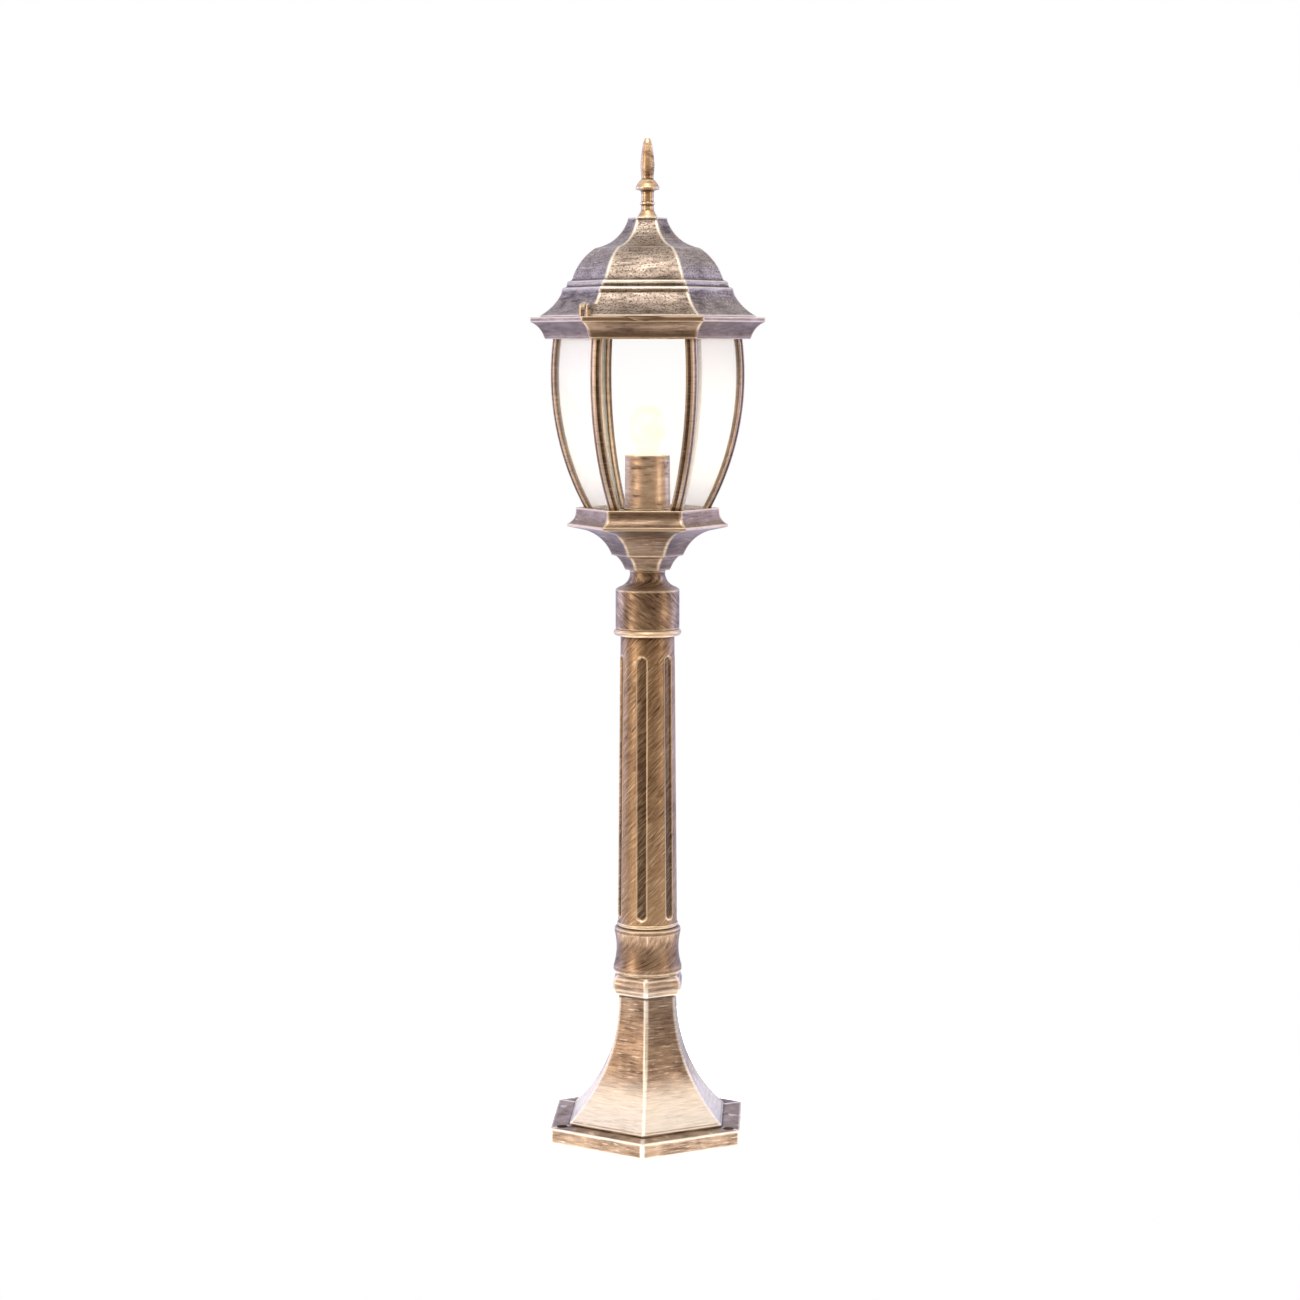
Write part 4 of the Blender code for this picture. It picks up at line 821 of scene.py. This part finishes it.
def ribSection(z):  # (out, round, wear, grime) down one half: rounded bead, step, wing, web
    corner, skinDeep, side = ribRadius(z), inset(z, ribs["skin"]), math.sqrt(3) / 2
    wing, web = ribs["wing"], ribs["web"]

    def face(along, deep):
        return (corner - along / 2 - side * deep, side * along - deep / 2)

    half = [(corner - 0.55, 0.0, 1.0, 0), (corner - 0.75, 0.75, 1.0, 0)]
    half += [(*face(2.2, 0.0), 0.85, 0), (*face(2.8, 0.55), 0.0, 0.8), (*face(5.4, 0.55), 0.15, 0.2)]
    half += [(*face(6.0, 0.05), 0.8, 0), (*face(wing - 0.5, 0.05), 0.9, 0), (*face(wing, 0.55), 0.6, 0)]
    half += [(*face(wing, skinDeep - 0.3), 0.0, 0.2), (*face(wing - 0.3, skinDeep), 0.0, 0.6)]
    along = (web + skinDeep / 2) / side
    half += [(*face(along, skinDeep), 0.0, 0.9), (corner - ribs["depth"] + 0.4, web, 0.25, 0.0)]
    half += [(corner - ribs["depth"], web - 0.4, 0.4, 0.0)]
    mirrored = [(x, -y, wear, grimeAndShade) for x, y, wear, grimeAndShade in reversed(half) if y > 0]
    return half + mirrored


def makeRibs():
    steps = ribs["stations"]
    levels = [ribs["low"] + (ribs["high"] - ribs["low"]) * k / (steps - 1) for k in range(steps)]
    for k in range(6):
        spin = about(60 * k)
        points, wear, grimeAndShade = [], [], []
        for z in levels:
            for x, y, worn, dirtAndShade in ribSection(z):
                points.append(spin @ Vector((x, y, z)) * mm)
                wear.append(worn)
                grimeAndShade.append(dirtAndShade)
        mesh = barOf("rib", points, len(points) // steps, {"wear": wear, "grimeAndShade": grimeAndShade})
        tabs = []
        for z, level in ((ribs["low"], ribs["low"]), (ribs["high"] - ribs["tab"], ribs["high"])):
            start = ribRadius(level) - 7.5
            wide, end = start - 3, start - 11
            outline = [(start, -1.2), (start, 1.2), (wide, 4.5), (end + 2, 4.5)]
            outline += [(end, 2.5), (end, -2.5), (end + 2, -4.5), (wide, -4.5)]
            tabs.append(plate(outline, ribs["tab"], spin @ Matrix.Translation((0, 0, z * mm)), 0.4))
        merged(mesh, tabs, 0.15)
        piece(f"rib{k + 1}", mesh, "head", [f"rib_{k + 1}"], castRibsShaded)


pane = {"thick": 2.2, "gap": 0.3, "stations": 30, "soft": 0.35}


def makePanes():
    steps, soft = pane["stations"], pane["soft"]
    for k in range(6):
        spin = about(60 * k + 30)
        points = []
        for i in range(steps):
            z = ribs["low"] + (ribs["high"] - ribs["low"]) * i / (steps - 1)
            outside = ribRadius(z) * flat - inset(z, ribs["skin"] + pane["gap"])
            inside = outside - inset(z, pane["thick"])
            half = inside * math.tan(math.pi / 6) - (ribs["web"] + pane["gap"]) / flat
            for x, y in (
                (outside, half - soft), (outside, -half + soft),
                (outside - soft, -half), (inside + soft, -half),
                (inside, -half + soft), (inside, half - soft),
                (inside + soft, half), (outside - soft, half),
            ):
                points.append(spin @ Vector((x, y, z)) * mm)
        mesh = barOf("pane", points, 8, {})
        piece(f"pane{k + 1}", mesh, "head", [f"glass_{k + 1}"], clearGlass)


eaves = {
    "low": 803.2, "top": 824.7, "lip": 116.7, "lipHeight": 4.7, "ridge": 1.3, "notchWidth": 31.0,
    "notchDeep": 4.4, "pinRadius": 110.53, "pinZ": 834.2, "hinge": 240, "earThick": 2.4, "earGap": 2.6,
    "latch": 60, "latchRadius": 110.03, "latchHole": 2.9,
}


def makeEaves():
    z, top, lip = eaves["low"], eaves["top"], eaves["lip"]
    profile = [(101, top), (lip, top), (lip, top - eaves["lipHeight"]), (114.9, top - 5.4)]
    profile += bow(profile[-1], (103.0, z + 1.6), -2.0, 10)
    profile += [(102.2, z + 0.8), (102.2, z), (99, z), (99, z + 8), (72, z + 8), (72, z + 13)]
    profile += [(101, z + 13), (101, top)]
    mesh = casting("eaves", profile, eaves["ridge"], 0, 1.8, 0.55)
    radius = (eaves["notchWidth"] ** 2 / 4 + eaves["notchDeep"] ** 2) / (2 * eaves["notchDeep"])
    notchZ, face = top - eaves["notchDeep"] + radius, lip * flat
    holes = [(radius, (0, -face + 7, notchZ), (0, -face - 7, notchZ), 160)]  # the finger notch
    for k in range(6):
        spot = around(60 * k, ribs["highScrew"])
        holes.append((ribScrewHole, (*spot, z + 4), (*spot, z + 18), 20))
    spot = around(eaves["latch"], eaves["latchRadius"])
    holes.append((eaves["latchHole"], (*spot, top - 5.2), (*spot, top + 5), 32))
    mesh = holed(mesh, holes)
    ears = []
    for across in (eaves["earGap"] + eaves["earThick"], -eaves["earGap"]):
        outline = [(-3.2, -10.5), (3.2, -10.5)] + arc(3.2, 14, 0, 180)
        stand = upright(eaves["hinge"], eaves["pinRadius"], across, eaves["pinZ"])
        ears.append(plate(outline, eaves["earThick"], stand, 0.35))
    merged(mesh, ears, 0.75)
    piece("eavesRing", mesh, "head", ["eaves_ring"], castLevel)


roof = {
    "base": 825.0, "ridge": 1.3, "wall": 3.0, "studHole": 3.2, "crown": 97.2, "rim": 107.5, "foot": 103.4,
    "knuckle": 4.2, "armThick": 4.6, "pinHole": 1.9,
    "lug": 6.5, "lugThick": 4.0, "lugLift": 6.8, "lugHole": 2.4,
}


def makeRoof():
    z, stud = roof["base"], roof["studHole"]
    crown = z + roof["crown"]
    outer = [(stud, crown), (19.8, crown), (19.9, z + 94.6)]
    outer += bow(outer[-1], (52, z + 67.7), -5.8, 16)
    outer += bow(outer[-1], (75.0, z + 37.4), 3.4, 14)
    outer += [(75.4, z + 36.2), (79.4, z + 34.8), (80.4, z + 32.4), (80.6, z + 29.6)]
    outer += [(84.6, z + 28.4), (85.4, z + 26.6), (85.8, z + 23.0)]
    outer += bow(outer[-1], (106.6, z + 1.6), -2.2, 14)
    outer += [(roof["rim"], z + 0.9), (roof["rim"], z)]
    above = [(radius, height) for radius, height in outer if radius > stud and height > z + 5]
    inner = [(radius - 3.5, height - roof["wall"]) for radius, height in above]
    profile = outer + [(roof["foot"], z)] + list(reversed(inner)) + [(stud, inner[0][1]), (stud, crown)]
    mesh = casting("roof", profile, roof["ridge"], 0, 1.9, 0.6)
    thick = roof["armThick"]
    knuckle = [(-18.5, 2.6), (-18.5, -2.6)] + arc(roof["knuckle"], 20, -141.7, 141.7)
    arm = plate(knuckle, thick, upright(eaves["hinge"], eaves["pinRadius"], thick / 2, eaves["pinZ"]), 0.4)
    root, reach, half = 92.0, eaves["latchRadius"], roof["lug"]
    lug = [(root, half), (root, -half)] + arc(half, 18, -90, 90, (reach, 0))
    lift = Matrix.Translation((0, 0, (eaves["top"] + roof["lugLift"]) * mm))
    shelf = plate(lug, roof["lugThick"], about(eaves["latch"]) @ lift, 0.5)
    spot = around(eaves["latch"], reach)
    shelf = holed(shelf, [(roof["lugHole"], (*spot, z + 1), (*spot, z + 17), 28)])
    pinSpot = about(eaves["hinge"]) @ Vector((eaves["pinRadius"], 0, eaves["pinZ"]))
    pinWay = about(eaves["hinge"]) @ Vector((0, 8, 0))
    arm = holed(arm, [(roof["pinHole"], pinSpot - pinWay, pinSpot + pinWay, 24)])
    merged(mesh, [arm, shelf], 0.6)
    piece("roofCasting", mesh, "roof", ["roof_shell"], castRoof)


finial = {
    "base": 922.5,
    "line": [
        (0, 77.6), (2.0, 77.5), (2.9, 76.3), (4.1, 73.2), (5.5, 65.4), (6.4, 57.4), (6.9, 51.0), (6.6, 45.3),
        (6.0, 40.2), (5.9, 37.4), (7.4, 36.2), (10.2, 32.6), (11.8, 29.2), (11.8, 27.8), (11.0, 27.1),
        (7.0, 26.2), (6.3, 24.6), (6.2, 15.2), (7.4, 14.5), (7.4, 12.9), (6.2, 12.2), (6.5, 6.6),
        (8.5, 2.8), (10.4, 0), (2.8, 0), (2.8, -14), (0, -14),
    ],
}


def makeFinial():
    profile = [(radius, finial["base"] + rise) for radius, rise in finial["line"]]
    mesh = turned("finial", profile, 72, 0.9, 0.5)
    piece("finialTurned", mesh, "roof", ["finial"], castGold)


lamp = {
    "holder": 636.6, "sleeveTop": 22.2, "sleeveFoot": 22.8, "sleeveHeight": 52.0, "wall": 0.9,
    "globe": 22.5, "glass": 1, "neck": 14.0,
}


def makeSleeve():
    z, high, low, wall = lamp["holder"], lamp["sleeveTop"], lamp["sleeveFoot"], lamp["wall"]
    top = z + lamp["sleeveHeight"]
    profile = [(high - wall, top), (high, top), (high + 0.1, top - 3), (low - 0.1, z + 3)]
    profile += [(low, z), (low - wall, z), (high - wall, top)]
    mesh = turned("sleeve", profile, 96, 2.0, 0.25)
    piece("candleSleeve", mesh, "head", ["candle_sleeve"], castSleeve)


def makeLamp():
    low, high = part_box("bulb_globe")
    top, base = high[2] / mm, low[2] / mm
    globe, neck = lamp["globe"], lamp["neck"]
    centre = top - globe
    last = math.pi - math.asin((neck + 1.5) / globe)  # where the ball gives way to the neck

    def ball(radius, share):
        return radius * math.sin(last * share), centre + radius * math.cos(last * share)

    profile = [(0, top)] + [ball(globe, k / 36) for k in range(1, 37)]
    profile += [(neck + 0.3, base + 3.6), (neck, base + 2.0), (13.2, base), (12.2, base)]
    profile += [(12.6, base + 3), (13.6, base + 6)]
    profile += [ball(globe - lamp["glass"], k / 24) for k in range(23, 0, -1)] + [(0, top - lamp["glass"])]
    made = piece("opalLamp", turned("opal", profile, 96, 3, 0.0), "lamp", ["bulb_globe"], opal)
    made.visible_shadow = False  # or it would hide the light inside it


lampCap = {"pitch": 3.62, "thread": 12.45, "wave": 0.6, "collar": 13.05, "sides": 72, "step": 0.45}


def makeLampCap():  # a rolled round thread
    low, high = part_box("bulb_cap")
    base, top = low[2] / mm, high[2] / mm
    sides, pitch, out = lampCap["sides"], lampCap["pitch"], lampCap["collar"]

    def ring(radius, z, wave):
        row = []
        for k in range(sides):
            theta = math.tau * k / sides
            far = radius + wave * math.cos(math.tau * (z - base) / pitch - theta)
            row.append((far * math.cos(theta), far * math.sin(theta), z, 0, 0, radius * theta, -z))
        return row

    rows = [[(0, 0, top, 0, 0, 0, 0)], ring(12.6, top, 0), ring(out, top - 0.4, 0), ring(out, top - 2.6, 0)]
    z = top - 3.4
    while z > base + 4:
        rows.append(ring(lampCap["thread"], z, lampCap["wave"]))
        z -= lampCap["step"]
    rows += [ring(11.6, base + 3, 0), ring(8.1, base, 0), [(0, 0, base, 0, 0, 0, 0)]]
    piece("lampCapThreaded", skin("cap", rows, 60), "lamp", ["bulb_cap"], nickel)


dish = {"base": 634.3, "radius": 23.5, "bore": 6.9}


def makeDish():
    z, out = dish["base"], dish["radius"]
    bore = dish["bore"]
    profile = [(bore, z + 1.2), (out - 3.4, z + 1.2), (out - 1.6, z + 2.0), (out, z + 1.7), (out, z + 0.7)]
    profile += [(out - 1.4, z), (bore, z), (bore, z + 1.2)]
    mesh = turned("dish", profile, 96, 1.5, 0.3)
    piece("candleDish", mesh, "head", ["candle_dish"], castSleeve)


thumb = {
    "radius": 6.5, "knurls": 26, "knurlDeep": 0.45, "seat": 835.8, "foot": 820.3,
    "shank": 2.0, "threadDeep": 0.3, "threadStep": 0.4,
}


def makeThumbScrew():
    sides = thumb["knurls"] * 6
    seat, shank = thumb["seat"], thumb["shank"]

    def ring(radius, z, deep=0.0, wear=0.0):
        row = []
        for k in range(sides):
            theta = math.tau * k / sides
            out = radius - deep * (0.5 - 0.5 * math.cos(theta * thumb["knurls"]))
            row.append((out * math.cos(theta), out * math.sin(theta), z, wear, 0, radius * theta, -z))
        return row

    out, deep = thumb["radius"], thumb["knurlDeep"]
    rows = [
        [(0, 0, seat + 6.4, 0, 0, 0, 0)], ring(4.4, seat + 6.4), ring(4.7, seat + 7.0), ring(5.4, seat + 7.0),
        ring(6.1, seat + 6.7, deep * 0.3), ring(out, seat + 6.1, deep), ring(out, seat + 2.6, deep),
        ring(6.1, seat + 2.0, deep * 0.3), ring(5.4, seat + 1.8), ring(3.9, seat + 1.4), ring(3.9, seat),
        ring(shank, seat),
    ]
    z = seat - 0.5
    while z > thumb["foot"] + 1.2:
        rows.append(ring(shank - (thumb["threadDeep"] if len(rows) % 2 else 0), z))
        z -= thumb["threadStep"]
    rows += [ring(1.5, thumb["foot"]), [(0, 0, thumb["foot"], 0, 0, 0, 0)]]
    mesh = skin("thumb", rows, 50)
    x, y = around(eaves["latch"], eaves["latchRadius"])
    mesh.transform(Matrix.Translation((x * mm, y * mm, 0)))
    piece("thumbScrewKnurled", mesh, "latch", ["thumb_screw"], brass)


slotFinish = {
    "rubbed_bronze": castLevel, "gold_sleeve": castSleeve, "zinc_steel": zinc, "brass": brass,
    "nickel_cap": nickel, "porcelain": porcelain, "terminal_plastic": polyamide, "cable_sheath": sheath,
    "clear_glass": clearGlass, "opal_glass": opal,
}


hardwareEdge = {"width": 0.25, "segments": 2, "sharperThan": 50}
hardwareSlots = ("zinc_steel", "brass", "porcelain", "terminal_plastic")


def finishHardware():  # screws, nuts, rods and lampholder keep their own shapes
    for row in frame["record"]["subparts"]:
        part = frame["nodes"][row["node"]]
        for place in part.material_slots:
            place.material = slotFinish[row["material_slot"]]
        if row["material_slot"] in hardwareSlots:
            worn = part.modifiers.new("edges", "BEVEL")
            worn.width, worn.segments = hardwareEdge["width"] * mm, hardwareEdge["segments"]
            worn.limit_method, worn.angle_limit = "ANGLE", math.radians(hardwareEdge["sharperThan"])


for make in (
    makeFoot, makeCollar, makePost, makeTrim, makeFitter, makeBowl, makeRibs, makePanes, makeEaves, makeRoof,
    makeFinial, makeDish, makeSleeve, makeLampCap, makeLamp, makeThumbScrew, finishHardware,
):
    make()
    print(make.__name__, "done")

studio = {"floor": "#fdfdfc", "fibre": "#f8f8f7", "fibresPerMetre": 900.0, "radius": 0.55, "glow": 0.9}


def makeFloor():
    shape = bmesh.new()
    bmesh.ops.create_circle(shape, cap_ends=True, segments=96, radius=studio["radius"])
    mesh = bpy.data.meshes.new("floor")
    shape.to_mesh(mesh)
    shape.free()
    floor = linked("floor", mesh)
    paper, tree = blank("seamlessPaper")
    where = add(tree, "ShaderNodeTexCoord").outputs["Object"]
    scale = studio["fibresPerMetre"]
    fibre = add(tree, "ShaderNodeTexNoise", {"Scale": scale, "Detail": 2.0}, {"Vector": where})
    colour = stops(
        add(tree, "ShaderNodeValToRGB", links={"Fac": fibre.outputs["Fac"]}),
        [(0.0, linear(studio["fibre"])), (1.0, linear(studio["floor"]))],
    ).outputs[0]
    shader = add(
        tree, "ShaderNodeBsdfPrincipled",
        {"Roughness": 0.9, "Specular IOR Level": 0.1, "Emission Strength": studio["glow"]},
        {"Base Color": colour, "Emission Color": colour},
    )
    close(tree, shader)
    mesh.materials.append(paper)


lights = {  # place in metres, width and height in metres, watts, colour
    "leftBox": ((-1.8, 0.6, 1.0), (1.0, 1.7), 9, "#d3d8ff"),
    "rightBox": ((1.8, 0.7, 1.0), (0.9, 1.6), 7, "#d3d8ff"),
    "leftKey": ((-1.6, -1.2, 0.9), (0.6, 1.7), 13, "#ffe9d2"),
    "rightKey": ((1.9, -0.9, 0.9), (0.4, 1.6), 7, "#ffe9d2"),
    "topBox": ((0.0, -1.2, 2.4), (1.6, 0.9), 20, "#fff8ee"),
}


lampGlow = {"watts": 0.5, "radius": 0.02, "colour": "#ffe9c4"}


def makeLights():
    for name, (spot, size, power, colour) in lights.items():
        box = bpy.data.lights.new(name, "AREA")
        box.shape = "RECTANGLE"
        box.size, box.size_y = size
        box.energy = power
        box.color = linear(colour)[:3]
        holder = linked(name, box)
        holder.location = spot
        aim = Vector((0, 0, 0.6)) - Vector(spot)
        holder.rotation_euler = aim.to_track_quat("-Z", "Y").to_euler()
    glow = bpy.data.lights.new("lampGlow", "POINT")
    glow.energy, glow.shadow_soft_size = lampGlow["watts"], lampGlow["radius"]
    glow.color = linear(lampGlow["colour"])[:3]
    holder = linked("lampGlow", glow)
    _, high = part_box("bulb_globe")
    holder.location = (0, 0, high[2] - lamp["globe"] * mm)


surround = {"front": "#ffd9b4", "back": "#ccd2ff", "top": "#fff9f0", "dim": 0.2, "bright": 0.95}


def makeWorld():  # white to the eye; to the castings a dim warm front, a bright cool back and a bright top
    world = bpy.data.worlds.new("studioSurround")
    bpy.context.scene.world = world
    world.use_nodes = True
    tree = world.node_tree
    tree.nodes.clear()
    where = add(tree, "ShaderNodeTexCoord").outputs["Generated"]
    parts = add(tree, "ShaderNodeSeparateXYZ", links={"Vector": where})
    back = add(tree, "ShaderNodeMapRange", {"From Min": -0.3, "From Max": 0.4}, {"Value": parts.outputs["Y"]})
    top = add(tree, "ShaderNodeMapRange", {"From Min": 0.3, "From Max": 0.7}, {"Value": parts.outputs["Z"]})
    colour = add(tree, "ShaderNodeMix", {"data_type": "RGBA"}, {0: back.outputs[0]})
    colour.inputs[6].default_value = linear(surround["front"])
    colour.inputs[7].default_value = linear(surround["back"])
    overhead = add(tree, "ShaderNodeMix", {"data_type": "RGBA"}, {0: top.outputs[0]})
    overhead.inputs[7].default_value = linear(surround["top"])
    tree.links.new(colour.outputs[2], overhead.inputs[6])
    bright = add(tree, "ShaderNodeMath", {"operation": "MAXIMUM"}, {0: back.outputs[0], 1: top.outputs[0]})
    total = add(
        tree, "ShaderNodeMapRange", {"To Min": surround["dim"], "To Max": surround["bright"]},
        {"Value": bright.outputs[0]},
    )
    light = {"Color": overhead.outputs[2], "Strength": total.outputs[0]}
    studioLight = add(tree, "ShaderNodeBackground", links=light)
    backdrop = add(tree, "ShaderNodeBackground", {"Color": linear("#ffffff"), "Strength": 1.0})
    seen = add(tree, "ShaderNodeLightPath").outputs["Is Camera Ray"]
    chosen = add(
        tree, "ShaderNodeMixShader", links={0: seen, 1: studioLight.outputs[0], 2: backdrop.outputs[0]}
    )
    add(tree, "ShaderNodeOutputWorld", links={"Surface": chosen.outputs[0]})


view = {"lens": 78.8, "distance": 2.8385, "azimuth": 2.8, "height": 0.799, "pitch": 6.15, "yaw": 2.75}


def makeCamera():
    lens = bpy.data.cameras.new("studioCamera")
    lens.lens, lens.sensor_width = view["lens"], 36.0
    lens.clip_end = 100.0
    camera = linked("studioCamera", lens)
    angle = math.radians(view["azimuth"])
    far = view["distance"]
    camera.location = (far * math.sin(angle), -far * math.cos(angle), view["height"])
    camera.rotation_euler = (math.radians(90 - view["pitch"]), 0, math.radians(view["yaw"]))
    bpy.context.scene.camera = camera


makeFloor()
makeLights()
makeWorld()
makeCamera()
bpy.context.scene.view_settings.view_transform = "Standard"
print("studio made")
